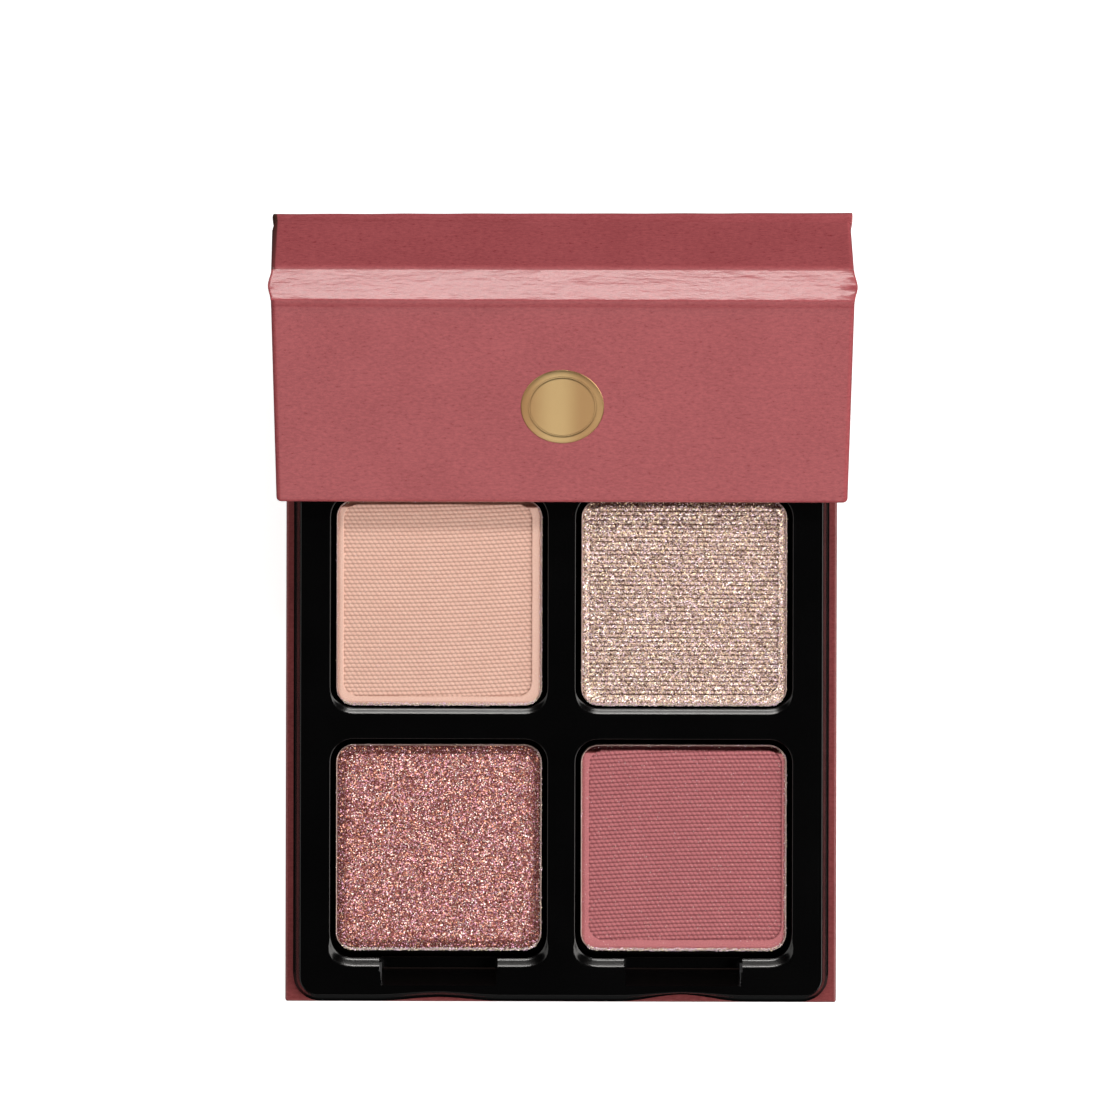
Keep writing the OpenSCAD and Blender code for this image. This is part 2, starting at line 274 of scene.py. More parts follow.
def tin(tree, place):
    """Drawn tinplate: streaks run up the wall, where the metal slid through the die."""
    drawn = tree.noise(place, 7000, 3, stretch=(1.0, 1.0, 0.08))
    spangle = tree.noise(place, 600, 2)
    return {"Base Color": tree.mix(spangle, (0.42, 0.28, 0.25), (0.62, 0.45, 0.41)),
            "Roughness": drawn * 0.2 + 0.32,
            "Normal": tree.bump(drawn, 0.004)}


def foil(tree, place):
    """Hot-stamped gold foil, which takes the tooth of the paper under it. A soft painted sheen lies
    across its middle, and a weaker one at its right."""
    tooth = tree.noise(place, 4200, 2, 0.6)
    across = place.axes()[0]
    # Painted sheen: the colour turns lighter gold across the middle and, more weakly, at the right.
    painted_sheen = across.step(-0.0052, -0.001) * across.step(-0.0003, 0.0026, 1.0, 0.25)
    glow = painted_sheen.most(across.step(0.0026, 0.0046, 0.0, 0.4))
    return {"Base Color": tree.mix(glow, (0.5, 0.28, 0.125), (0.72, 0.5, 0.24)),
            "Roughness": tooth * 0.12 + 0.26,
            "Normal": tree.bump(tooth, 0.003)}


def magnet(tree, place):
    """Nickel-plated bar magnet with grinding lines along it."""
    lines = tree.noise(place, 6000, 3, stretch=(0.05, 1.0, 1.0))
    return {"Base Color": tree.mix(lines, (0.42, 0.42, 0.44), (0.6, 0.6, 0.62)),
            "Roughness": lines * 0.25 + 0.22,
            "Normal": tree.bump(lines, 0.003)}


def adhesive(tree, place):
    """A skin of clear glue, with small trapped bubbles."""
    bubbles = tree.cells(place, 900.0)
    return {"Base Color": tree.mix(bubbles, (0.8, 0.76, 0.66), (0.66, 0.62, 0.52)),
            "Roughness": bubbles * 0.3 + 0.2,
            "Normal": tree.bump(bubbles, 0.02)}


tray_plastic = finish("tray_plastic", {"IOR": 1.5, "Specular IOR Level": 0.5}, plastic)
tinplate = finish("tinplate", {"Metallic": 1.0}, tin)
gold_foil = finish("gold_foil", {"Metallic": 1.0}, foil)
magnet_steel = finish("magnet_steel", {"Metallic": 1.0}, magnet)
clear_adhesive = finish("clear_adhesive", {"IOR": 1.45}, adhesive)

# %% [markdown]
# ## Powders
# Two powders are matt: fine talc with pigment, so almost no gloss and a soft grain. The other
# two carry mica and glitter. Each flake lies at its own angle, and that is what makes it
# sparkle, so their material splits the surface into tiny cells and tips each cell's normal.
# The mesh of a powder carries a number named weave: 0 in a gap of its pattern, 1 on a bead.
# Colour follows it as painted shade: the gaps, the gap behind the margin and the step round the
# die are painted darker, and so are some margins.

# %% Powder finishes
MATT_GRAIN = 0.02
LUCKY_GRAIN = 0.993
FLAKE_ROUGH = 0.2


def matt_powder(name, gap, dark, light):
    """Pressed talc and pigment. A few lucky grains are pale and catch the light. Where the weave
    number is low the colour turns to gap: painted shade in the weave's valleys and in the gap behind.
    """
    def pattern(tree, place):
        fine = tree.noise(place, 7000, 3, 0.7)
        cloud = tree.noise(place, 350, 2)
        lucky = (tree.cells(place, 9500.0, "Color").axes()[0] > LUCKY_GRAIN) * 0.35
        beads = tree.mix((fine * 0.85 + cloud * 0.15).step(0.3, 0.7), dark, light)
        # Painted shade: the gap colour where the weave number is low.
        matt = tree.mix(tree.carried("weave").step(0.0, 0.85), gap, beads)
        return {"Base Color": tree.mix(lucky, matt, (1.0, 0.86, 0.8)),
                "Roughness": 0.9 - lucky,
                "Normal": tree.bump(fine, MATT_GRAIN)}

    return finish(name, {"Specular IOR Level": 0.25}, pattern)


def tipped_normal(tree, cell_colour, tilt):
    """The surface normal, tipped a different way in each cell."""
    tip = tree.vscale(tree.vmaths("SUBTRACT", cell_colour, (0.5, 0.5, 0.5)), tilt)
    normal = tree.add("ShaderNodeNewGeometry", output="Normal")
    return tree.vmaths("NORMALIZE", tree.vmaths("ADD", normal, tip))


def shimmer_powder(name, dark, body, bright, tints, per_metre, tilt, metal):
    """Pressed pearl or glitter: cells of pigment, of mica in two tints and of bright flakes. Painted
    shade darkens the body in the weave's gaps, and the flakes' near-white is partly a painted glint.
    """
    def pattern(tree, place):
        wander = tree.vscale(tree.noise(place, 1800, 2, output="Color"), 0.00006)
        cell = tree.cells(tree.vmaths("ADD", place, wander), per_metre, "Color")
        first, second, third = cell.axes()
        lift = tree.carried("weave")
        # Painted shade: the body turns dark, and fewer flakes show, where the weave number is low.
        base = tree.mix(first.step(0.0, 0.5) * lift.step(0.1, 0.7), dark, body)
        tint = tree.mix(second.step(0.35, 0.65), *tints)
        shown = first * lift.step(0.0, 0.6, 0.72, 1.0)
        flaked = tree.mix(shown.step(0.6, 0.7), base, tint)
        # The bright colour is partly a painted glint: diffuse near-white that looks lit from any side.
        return {"Base Color": tree.mix(shown.step(0.9, 0.94), flaked, bright),
                "Metallic": shown.step(0.45, 0.8, 0.1, metal),
                "Roughness": third * 0.22 + FLAKE_ROUGH,
                "Normal": tipped_normal(tree, cell, tilt)}

    return finish(name, {"Specular IOR Level": 0.5}, pattern)


def cut_film(tree, place):
    """Glitter flakes. Each carries its own number, which picks silver, gold or rose."""
    tint = tree.carried("tint")
    warm = tree.mix(tint.step(0.25, 0.45), (1.0, 0.98, 0.95), (1.0, 0.86, 0.6))
    return {"Base Color": tree.mix(tint.step(0.65, 0.8), warm, (0.95, 0.68, 0.86)),
            "Roughness": tree.noise(place, 9000, 1) * 0.2 + 0.2}


# gap is the painted shade colour for the weave's valleys and the gap behind the margin.
peach = matt_powder("powder_peach", gap=(0.56, 0.31, 0.24), dark=(0.88, 0.54, 0.44), light=(1.0, 0.69, 0.58))
dusty_rose = matt_powder(
    "powder_dusty_rose", gap=(0.22, 0.062, 0.07), dark=(0.5, 0.16, 0.175), light=(0.7, 0.25, 0.268))
champagne = shimmer_powder(
    "powder_champagne", dark=(0.12, 0.055, 0.04), body=(1.0, 0.68, 0.56), bright=(1.0, 0.95, 0.88),
    tints=((1.0, 0.8, 0.52), (0.95, 0.72, 0.85)), per_metre=8000.0, tilt=1.1, metal=0.66)
rose_glitter = shimmer_powder(
    "powder_rose_glitter", dark=(0.13, 0.026, 0.022), body=(0.5, 0.145, 0.13), bright=(1.0, 0.86, 0.8),
    tints=((0.9, 0.42, 0.26), (0.7, 0.32, 0.46)), per_metre=8400.0, tilt=1.2, metal=0.76)
glitter_flake = finish("glitter_flake", {"Metallic": 0.4, "Specular IOR Level": 0.9}, cut_film)

# %% [markdown]
# ## Meshes from numbers
# Paper over board is thin, its edges are round and its faces are flat. A lattice gives just
# that: lines drawn close together where an edge turns and far apart between, on the skin of a
# box. Points that lie within the radius of an edge then slide on to its arc.

# %% Mesh kit
SHARP = math.radians(50)
WELD = 1e-6


def add_piece(name, points, faces, materials, picks=None):
    """A mesh object from points in millimetres, at the origin, shaded smooth."""
    mesh = bpy.data.meshes.new(name)
    mesh.from_pydata((np.asarray(points, float) * MM).tolist(), [], [list(map(int, f)) for f in faces])
    for material in materials:
        mesh.materials.append(material)
    mesh.polygons.foreach_set("use_smooth", [True] * len(mesh.polygons))
    if picks is not None:
        mesh.polygons.foreach_set("material_index", [int(p) for p in picks])
    mesh.update()
    made = bpy.data.objects.new(name, mesh)
    bpy.context.scene.collection.objects.link(made)
    return made


def settle(piece, *modifiers):
    """Adds modifiers as (type, settings), then turns the result into a plain mesh."""
    for kind, settings in modifiers:
        modifier = piece.modifiers.new(kind.lower(), kind)
        for key, value in settings.items():
            setattr(modifier, key, value)
    graph = bpy.context.evaluated_depsgraph_get()
    mesh = bpy.data.meshes.new_from_object(piece.evaluated_get(graph))
    piece.modifiers.clear()
    piece.data = mesh
    return piece


def crisp(piece):
    """Keeps cut edges crisp while the rest is shaded smooth."""
    piece.data.set_sharp_from_angle(angle=SHARP)
    return piece


def sewn(piece, fill=False):
    """Welds points that meet, closes open rims if asked, and turns every face outwards."""
    made = bmesh.new()
    made.from_mesh(piece.data)
    bmesh.ops.remove_doubles(made, verts=made.verts, dist=WELD)
    if fill:
        bmesh.ops.holes_fill(made, edges=[e for e in made.edges if e.is_boundary], sides=0)
    bmesh.ops.recalc_face_normals(made, faces=made.faces)
    top = max(made.faces, key=lambda f: f.calc_center_median().z)
    if top.normal.z < 0:
        bmesh.ops.reverse_faces(made, faces=made.faces)
    made.to_mesh(piece.data)
    made.free()
    return piece


def carry(piece, body, slot, *nodes):
    """The piece rides on a body and stands for CAD nodes, which it hides. slot is not used."""
    crisp(piece)
    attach(piece, body)
    if nodes:
        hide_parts(*nodes)
    print(f"{piece.name}: {len(piece.data.polygons)} faces on {body}")
    return piece


print("mesh kit ready")

# %% Lattice
EDGE_STEPS = 4
PAST_ARC = 1.25
CLOSEST_LINES = 0.02


def lattice_skin(lines, solid=None, keep=None):
    """The skin of a lattice, or of those of its cells for which solid(x, y, z) is true. lines are
    three lists of coordinates. keep(axis, ahead, centre) says which faces of the skin are wanted.
    Returns the points, the faces, and the axis, side and centre of each face."""
    middles = [(np.asarray(line)[1:] + np.asarray(line)[:-1]) / 2 for line in lines]
    cell_middles = np.meshgrid(*middles, indexing="ij")
    filled = np.pad(solid(*cell_middles) if solid else np.ones(cell_middles[0].shape, bool), 1)
    points, faces, kinds, index = [], [], [], {}
    for axis in range(3):
        second, third = (axis + 1) % 3, (axis + 2) % 3
        edge = np.diff(filled.astype(int), axis=axis)
        for cell in np.argwhere(edge):
            flat = int(cell[axis])
            i, j = int(cell[second]) - 1, int(cell[third]) - 1
            ahead = edge[tuple(cell)] < 0
            centre = [0.0, 0.0, 0.0]
            centre[axis] = lines[axis][flat]
            centre[second] = middles[second][i]
            centre[third] = middles[third][j]
            if keep and not keep(axis, ahead, centre):
                continue
            ring = []
            for di, dj in ((0, 0), (1, 0), (1, 1), (0, 1)):
                key = [0, 0, 0]
                key[axis], key[second], key[third] = flat, i + di, j + dj
                key = tuple(key)
                if key not in index:
                    index[key] = len(points)
                    points.append([lines[a][key[a]] for a in range(3)])
                ring.append(index[key])
            faces.append(ring if ahead else ring[::-1])
            kinds.append((axis, ahead, centre))
    return np.array(points), faces, kinds


def edge_lines(radius):
    """Distances from an edge at which lattice lines lie, so that its arc turns in equal steps."""
    arc = [1 - math.tan(math.pi / 4 * (1 - k / EDGE_STEPS)) for k in range(EDGE_STEPS + 1)]
    return [radius * share for share in [*arc, PAST_ARC]]


def spread_lines(low, high, step, low_radius=0.0, high_radius=0.0, extra=()):
    """Lattice lines from low to high, with rounded edges at either end if their radius is set."""
    start = [low + d for d in edge_lines(low_radius)] if low_radius else [low]
    end = [high - d for d in edge_lines(high_radius)][::-1] if high_radius else [high]
    between = np.linspace(start[-1], end[0], max(2, math.ceil((end[0] - start[-1]) / step) + 1))
    lines = sorted({round(float(v), 5) for v in [*start, *between[1:-1], *end, *extra]})
    kept = [lines[0]]
    for value in lines[1:]:
        if value - kept[-1] > CLOSEST_LINES:
            kept.append(value)
    return kept


print(f"a rounded edge takes {EDGE_STEPS + 2} lattice lines")

# %% [markdown]
# ## The lid's panels
# The three creases are the joints of the frame. A panel runs from one crease to the next, and
# its own directions are `along` and `outward`. Boards stop short of the creases, so what bends
# is two sheets of paper glued together: the printed wrap and the lining.


# %% Panels
def turned(direction):
    """A direction in the side view, turned a quarter to its left."""
    return np.array([-direction[1], direction[0]])


class Panel:
    """A flat panel between two creases, given as (y, z) points in its outer face."""

    def __init__(self, start, end):
        self.start = np.array(start, float)
        run = np.array(end, float) - self.start
        self.length = float(np.hypot(*run))
        self.along = run / self.length
        self.outward = -turned(self.along)

    def at(self, distance, depth=0.0):
        return self.start + distance * self.along - depth * self.outward

    def reach(self, node):
        """Where a CAD node starts and ends along the panel."""
        places = np.array([v.co[1:] for v in frame["nodes"][node].data.vertices]) / MM
        distances = (places - self.start) @ self.along
        return float(distances.min()), float(distances.max())


hinges = {j["name"]: np.array(j["pos_m"][1:]) / MM for j in frame["joints"]}
lid_low, lid_high = box_mm("front_panel_wrap")
lid_edge = min((v.co.y / MM, v.co.z / MM) for v in frame["nodes"]["front_panel_wrap"].data.vertices)
panels = {
    "rear": Panel(hinges["spine_hinge"], hinges["far_hinge"]),
    "middle": Panel(hinges["far_hinge"], hinges["ridge_hinge"]),
    "front": Panel(hinges["ridge_hinge"], lid_edge),
}
rear, middle, front = panels.values()
boards = {name: panel.reach(f"{name}_panel_board") for name, panel in panels.items()}
base_low, base_high = box_mm("base_wrap")
liner_low, liner_high = box_mm("spine_liner")
spine_high = box_mm("spine_board")[1]
lid_half = (lid_high[0] - lid_low[0]) / 2
lid_t = base_high[1] - liner_low[1]
paper_t = base_high[1] - spine_high[1]
turn_in = base_high[0] - liner_high[0]
for name, panel in panels.items():
    print(f"{name}: {panel.length:.2f} mm long, board {boards[name][0]:.2f} to {boards[name][1]:.2f}")
print(f"lid {2 * lid_half:.1f} wide and {lid_t:.1f} thick, paper {paper_t:.2f}, turn-in {turn_in:.1f}")

# %% [markdown]
# A sheet of paper pulled round a 1.3 mm board leaves an outer edge with a radius of about half
# a millimetre, and a tighter one behind, where it is glued down. The rounding works in the
# panel's own coordinates: across, along and depth. Bending comes after it.

# %% Rounded slab
OUTER_R = 0.62
INNER_R = 0.32
LID_STEP = 1.2


def smooth(value):
    """A soft step from 0 to 1 as the value goes from 0 to 1."""
    value = np.clip(value, 0, 1)
    return value * value * (3 - 2 * value)


def on_arc(points, core, radius):
    """Slides points on to an arc round the nearest point of a core."""
    away = points - core
    size = np.linalg.norm(away, axis=1)
    arc = core + away * (radius / np.maximum(size, 1e-9))[:, None]
    return np.where((size > 1e-9)[:, None], arc, points)


def round_slab(points, half, thickness, end=None):
    """Rounds the long edges of a slab of (across, along, depth) points, and its far end if given.
    The radii shrink with the thickness."""
    across, along, depth = points.T
    share = thickness / lid_t
    outer, inner = OUTER_R * share, INNER_R * share
    radius = np.where(depth < thickness / 2, outer, inner)
    core = np.stack([
        np.clip(across, radius - half, half - radius),
        along if end is None else np.minimum(along, end - radius),
        np.clip(depth, outer, thickness - inner),
    ], axis=1)
    return on_arc(points, core, radius)


def ripple(across, along, size, seed):
    """A soft, irregular wave from -1 to 1, the same on every run: four waves that cross."""
    total = np.zeros(np.broadcast(across, along).shape)
    for k in range(1, 5):
        turn = seed * 1.7 + k * 2.1
        way = across * math.cos(turn) + along * math.sin(turn)
        total = total + np.sin(way * k * 1.9 / size + turn * k)
    return total / 4


across_lines = spread_lines(-lid_half, lid_half, LID_STEP, OUTER_R, OUTER_R,
                            extra=(-lid_half + turn_in, lid_half - turn_in))
depth_lines = [0.0, *edge_lines(OUTER_R)[1:], *[lid_t - d for d in edge_lines(INNER_R)[-2::-1]]]
print(f"{len(across_lines)} lines across, {len(depth_lines)} through the lid")

# %% [markdown]
# The covers stop where a crease takes over. Beside the ridge their outer faces bend by a hair:
# the middle panel's dips towards the band, and the front panel's stands up to meet it. On the
# left the wrap stands off the boards, and its edge there is painted dark as shade, most of all
# at the far crease.

# %% Panel cover sizes
END_LINES = 0.9
EDGE_SPARE = 0.18
DIP_REACH, DIP_SLOPE = 0.9, 0.46
LIFT_REACH, LIFT = 1.5, 0.2
FLARE_REACH, FLARE = 2.4, 0.5
LEAN_REACH, LEAN = 1.1, 0.55
# How far in from the left side the painted edge shade reaches, and over what width it fades.
EDGE_SHADE_REACH, EDGE_SHADE_FADE = 0.6, 0.25
FACE_WAVE, FACE_WAVE_SIZE, FACE_FADE = 0.02, 9.0, 2

covers = {name: [reach[0] - paper_t, reach[1] + paper_t] for name, reach in boards.items()}
covers["front"][1] = front.length + EDGE_SPARE


def sink(name, along):
    """How far a panel's outer face leaves its plane beside the ridge."""
    if name == "middle":
        near = np.clip(1 - (covers[name][1] - along) / DIP_REACH, 0, 1)
        return DIP_SLOPE * DIP_REACH / 2 * near ** 2
    if name == "front":
        return -LIFT * smooth(1 - (along - covers[name][0]) / LIFT_REACH)
    return 0 * along


def flare(name, across, share, depth):
    """How far the wrap stands off its left side, and how much painted shade that side gets. share is how
    far along a panel a point lies."""
    grows = {"rear": share ** 3, "far": np.ones(np.shape(share)), "middle": 1 - share}.get(name)
    if grows is None:
        return 0.0, np.zeros(np.shape(across))
    beyond = -across - lid_half
    off = FLARE * smooth((beyond + FLARE_REACH) / FLARE_REACH)
    lean = LEAN * (1 - depth / lid_t) * smooth((beyond + LEAN_REACH) / LEAN_REACH)
    # How dark the left edge is painted: painted shade where that side lies in shadow.
    edge_shade = smooth((beyond + EDGE_SHADE_REACH) / EDGE_SHADE_FADE) * np.sqrt(grows)
    return grows * (lean - off), edge_shade


for name, (start, end) in covers.items():
    print(f"{name} cover: {start:.2f} to {end:.2f}")


# %% Panel covers
def end_face(points, rim, axes):
    """One flat face that closes an open end: the numbers of its rim points, in turn."""
    ring = points[rim][:, axes]
    low, high = ring.min(axis=0), ring.max(axis=0)
    away = (ring - (low + high) / 2) / (high - low)
    return list(np.flatnonzero(rim)[np.argsort(np.arctan2(away[:, 1], away[:, 0]))])


def mark(piece, name, values):
    """Stores one number a point for a material to read."""
    attribute = piece.data.attributes.new(name, "FLOAT", "POINT")
    attribute.data.foreach_set("value", np.asarray(values, np.float32))


def paper_shell(piece):
    """Turns a skin into a shell as thick as the paper, which grows inwards."""
    return settle(sewn(piece), ("SOLIDIFY", {
        "thickness": paper_t * MM, "offset": -1.0, "use_even_offset": True}))


def panel_cover(name, closed_end=False):
    """The wrap of one panel: outer face, edges and turned-in strips, as a shell of real paper. It
    closes round both ends of the board, and its outer face runs on into the creases."""
    panel = panels[name]
    start, end = covers[name]
    open_to = end - turn_in if closed_end else end
    along_lines = spread_lines(start, end, LID_STEP, END_LINES, OUTER_R if closed_end else END_LINES,
                               extra=(open_to,) if closed_end else ())
    flat_ends = along_lines[:1] if closed_end else [along_lines[0], along_lines[-1]]

    def keep(axis, ahead, centre):
        if axis == 1:
            return ahead and closed_end
        if axis == 2 and ahead:
            return abs(centre[0]) > lid_half - turn_in or centre[1] > open_to
        return True

    points, faces, _ = lattice_skin([across_lines, along_lines, depth_lines], keep=keep)
    points = round_slab(points, lid_half, lid_t, end if closed_end else None)
    for at in flat_ends:
        faces.append(end_face(points, np.isclose(points[:, 1], at), (0, 2)))
    moved, edge_shade = flare(name, points[:, 0], points[:, 1] / panel.length, points[:, 2])
    across, along = points[:, 0] + moved, points[:, 1]
    fade = np.clip((along - start) / FACE_FADE, 0, 1) * np.clip((end - along) / FACE_FADE, 0, 1)
    depth = points[:, 2] + FACE_WAVE * fade * ripple(across, along, FACE_WAVE_SIZE, len(name))
    depth += sink(name, along) * (1 - depth / lid_t)
    places = panel.start + along[:, None] * panel.along - depth[:, None] * panel.outward
    piece = add_piece(f"{name}_cover", np.column_stack([across, places]), faces, [wrap_paper])
    # The points carry the painted shade of the left edge.
    mark(piece, "edge", edge_shade)
    return carry(paper_shell(piece), f"{name}_panel", "wrap_paper", f"{name}_panel_wrap")


print("panel covers follow the creases")

# %% [markdown]
# ## The creases
# A crease has to bend while its neighbours stay flat, so it is a piece of its own. Its outer
# line is a path of straight runs and arcs in the side view.
# The ridge is pulled tight over the ends of two boards, which leaves a narrow, nearly flat band
# with a bend on each side: that band is what catches the light. At its ends the folded paper
# stands out a little as ears.

# %% Crease paths
TURN_STEP = math.radians(9)
RUN_STEP = 0.4
BAND_FOOT, BAND_DROP, BAND_BULGE = 0.1, -0.03, 0.03
FAR_PUFF, FAR_RUN = 0.62, 0.7


def rounded_path(corners, radii):
    """Points and outward normals along straight runs whose inner corners are arcs."""
    corners = [np.array(c, float) for c in corners]
    points, normals = [], []

    def put(point, direction):
        points.append(point)
        normals.append(-turned(direction))

    last = corners[0]
    for index in range(1, len(corners)):
        run = corners[index] - corners[index - 1]
        ahead = run / np.hypot(*run)
        stop, turn = corners[index], 0.0
        if index < len(corners) - 1:
            after = corners[index + 1] - corners[index]
            after = after / np.hypot(*after)
            turn = math.atan2(ahead[0] * after[1] - ahead[1] * after[0], ahead @ after)
            radius = radii[index - 1]
            stop = corners[index] - ahead * radius * math.tan(abs(turn) / 2)
        count = max(1, math.ceil(np.hypot(*(stop - last)) / RUN_STEP))
        for k in range(count):
            put(last + (stop - last) * k / count, ahead)
        last = stop
        if turn:
            signed = math.copysign(1.0, turn) * radius
            centre = stop + signed * turned(ahead)
            arc = max(2, math.ceil(abs(turn) / TURN_STEP))
            for k in range(arc):
                angle = turn * k / arc
                way = ahead * math.cos(angle) + turned(ahead) * math.sin(angle)
                put(centre - signed * turned(way), way)
            last = centre - signed * turned(after)
    put(corners[-1], ahead)
    return np.array(points), np.array(normals)


band_top = middle.at(covers["middle"][1], DIP_SLOPE * DIP_REACH / 2)
band_foot = front.at(covers["front"][0] - BAND_FOOT, -LIFT + BAND_DROP)
band_run = band_foot - band_top
band_up = turned(band_run) / np.hypot(*band_run)
band_up = band_up * math.copysign(1.0, band_up[1])
band_mid = (band_top + band_foot) / 2 + band_up * BAND_BULGE
front_edge = front.at(covers["front"][0], -LIFT)

far_out = (rear.outward + middle.outward) / np.hypot(*(rear.outward + middle.outward))
far_corner = middle.start + FAR_PUFF * far_out
rear_end, middle_start = covers["rear"][1], covers["middle"][0]
spine_top = spine_high[2] + paper_t

# Each path is a list of corners, and the radii of the bends at its inner ones.
paths = {
    "spine": rounded_path([(base_high[1], spine_top), rear.start, rear.at(covers["rear"][0])], [0.35]),
    "far": rounded_path([rear.at(rear_end), rear.at(rear_end + FAR_RUN), far_corner,
                         middle.at(middle_start - FAR_RUN), middle.at(middle_start)], [3.0, 0.5, 3.0]),
    "ridge": rounded_path([band_top, band_mid, band_foot, front_edge], [8.0, 0.18]),
}
print(f"the band is {np.hypot(*band_run):.2f} mm wide and leans "
      f"{math.degrees(math.atan2(band_run[1], -band_run[0])):.1f} degrees")
for name, (line, _) in paths.items():
    print(f"{name} crease: {len(line)} stations")

# %% Crease pieces
FOLD_T = 0.26
SWAY, SWAY_SIZE = 0.035, 5.0
PUCKER_AT, PUCKER_TURNS = 0.42, 1.6


def crease(name, bodies, blend_from, blend_to, half, ear, reach, pinches, skew=0.0):
    """A strip of wrap and lining that bends between two bodies. ear is how far its ends stand
    out, and pinches how deep the fold puckers at the left and right end, both within reach of
    that end. skew pushes the strip out on the right and in on the left."""
    line, normals = paths[name]
    run = np.concatenate([[0.0], np.cumsum(np.hypot(*np.diff(line, axis=0).T))])
    side_lines = [x * half / lid_half for x in across_lines]
    thick_lines = [d / lid_t for d in depth_lines]
    points, faces, kinds = lattice_skin([side_lines, list(range(len(run))), thick_lines])
    station = points[:, 1].astype(int)
    along = run[station]
    slab = round_slab(np.column_stack([points[:, 0], along, points[:, 2] * FOLD_T]), half, FOLD_T)
    across, depth = slab[:, 0], slab[:, 2]
    inside = np.sin(np.pi * along / run[-1])
    near_side = smooth((np.abs(across) - (half - reach)) / reach)
    moved, edge_shade = flare(name, across, along, depth)
    wave = np.cos(2 * np.pi * (along / run[-1] - PUCKER_AT) * PUCKER_TURNS)
    pucker = np.where(across < 0, *pinches) * inside * near_side * wave
    sway = SWAY * inside * ripple(across, along, SWAY_SIZE, len(name) + 2)
    depth = depth + pucker + sway - skew * inside * across / half
    across = across + np.sign(across) * ear * inside ** 2 * near_side + moved
    places = line[station] - depth[:, None] * normals[station]
    picks = [axis == 2 and ahead and abs(centre[0]) < half - turn_in for axis, ahead, centre in kinds]
    piece = add_piece(f"{name}_fold", np.column_stack([across, places]), faces,
                      [fold_paper, lining_paper], picks)
    # The points carry the painted shade of the left edge.
    mark(piece, "edge", edge_shade)
    crisp(sewn(piece))
    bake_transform(piece)
    print(f"{piece.name}: {len(faces)} faces from {bodies[0]} to {bodies[1]}")
    return piece


# Each strip follows the path of its crease in the side view.
crease("spine", ("base", "rear_panel"), (base_high[1] - 0.1, rear.start[1] - 0.8), rear.at(0.8, -0.1),
       half=base_high[0], ear=0.25, reach=3.0, pinches=(0.05, 0.05))
crease("far", ("rear_panel", "middle_panel"), rear.at(rear.length - 1.0), middle.at(1.0),
       half=lid_half, ear=0.32, reach=1.3, pinches=(0.03, 0.03), skew=0.16)
crease("ridge", ("middle_panel", "front_panel"), band_top + 0.42 * band_run, band_top + 0.78 * band_run,
       half=lid_half, ear=0.38, reach=2.2, pinches=(0.03, 0.12))
panel_cover("rear")
panel_cover("middle")
panel_cover("front", closed_end=True)

# %% [markdown]
# ## The base and the spine
# One sheet covers the underside, turns over the edges and climbs the outside of the spine. Its
# section is an L, which a lattice makes as easily as a box: the solid cells are the slab and
# the upright behind it. The greyboards inside stay CAD pieces.

# %% Base cover
BASE_R = 0.45
TUCK_R = 0.3
BASE_STEP = 1.6
UPRIGHT_LINES = 7
NEARLY = 1e-6
base_t = liner_low[2]
spine_in = liner_low[1]


def base_cover():
    half = base_high[0]
    front_y, back_y = base_low[1], base_high[1]
    climb = np.linspace(base_t + 0.4, spine_top, UPRIGHT_LINES)
    lines = [
        spread_lines(-half, half, BASE_STEP, BASE_R, BASE_R, extra=(-half + turn_in, half - turn_in)),
        spread_lines(front_y, back_y, BASE_STEP, BASE_R, BASE_R,
                     extra=(front_y + turn_in, spine_in, spine_in - TUCK_R)),
        sorted({*edge_lines(BASE_R), *[base_t - d for d in edge_lines(TUCK_R)], *map(float, climb)}),
    ]

    def keep(axis, ahead, centre):
        if axis == 2 and ahead:
            return centre[2] < spine_top - 0.1 and (
                abs(centre[0]) > half - turn_in or centre[1] < front_y + turn_in)
        if axis == 1 and not ahead and centre[1] > 0:
            return abs(centre[0]) > half - turn_in
        return True

    points, faces, _ = lattice_skin(lines, lambda x, y, z: (z < base_t) | (y > spine_in), keep)
    x, y, z = points.T
    upright = z > base_t + NEARLY
    slab = ~upright & (y < spine_in - NEARLY)
    tucked = slab & (z > base_t / 2) | upright & (y < (spine_in + back_y) / 2)
    radius = np.where(tucked, TUCK_R, BASE_R)
    low_y = np.where(upright, spine_in + TUCK_R, front_y + radius)
    core = np.stack([
        np.clip(x, radius - half, half - radius),
        np.clip(y, low_y, back_y - BASE_R),
        np.where(slab, np.clip(z, BASE_R, base_t - TUCK_R), np.maximum(z, BASE_R)),
    ], axis=1)
    points = on_arc(points, core, radius)
    faces.append(end_face(points, np.isclose(z, lines[2][-1]), (0, 1)))
    piece = paper_shell(add_piece("base_cover", points, faces, [base_paper_shaded]))
    return carry(piece, "base", "wrap_paper", "base_wrap")


base_cover()

# %% [markdown]
# ## The moulded tray
# The tray is one thin moulding: a flat land with four wells, a rounded rim, a skirt, a finger
# scoop in front of each front pan and a shallow thumb hollow in the skirt. Wells and rim are
# loops round a rounded rectangle, stacked ring by ring, and the land between them is a
# triangulated sheet. The scoops press that sheet, and the well's lip goes down with it. In front
# of each well the lip widens into a sloping ledge.

# %% Tray sizes
PAN_CLEAR = 0.7
PAN_R = 2.2
WELL_R = PAN_R + PAN_CLEAR
FLOOR_R, FLOOR_BEND = 0.4, 0.12
LIP_R = 0.09
LIP_SPARE = 0.12
LEDGE_SPARE = 1.15
LEDGE_BEND = 0.35
LEDGE_SHARES = (0.0, 0.12, 0.24, 0.36, 0.6, 0.8)
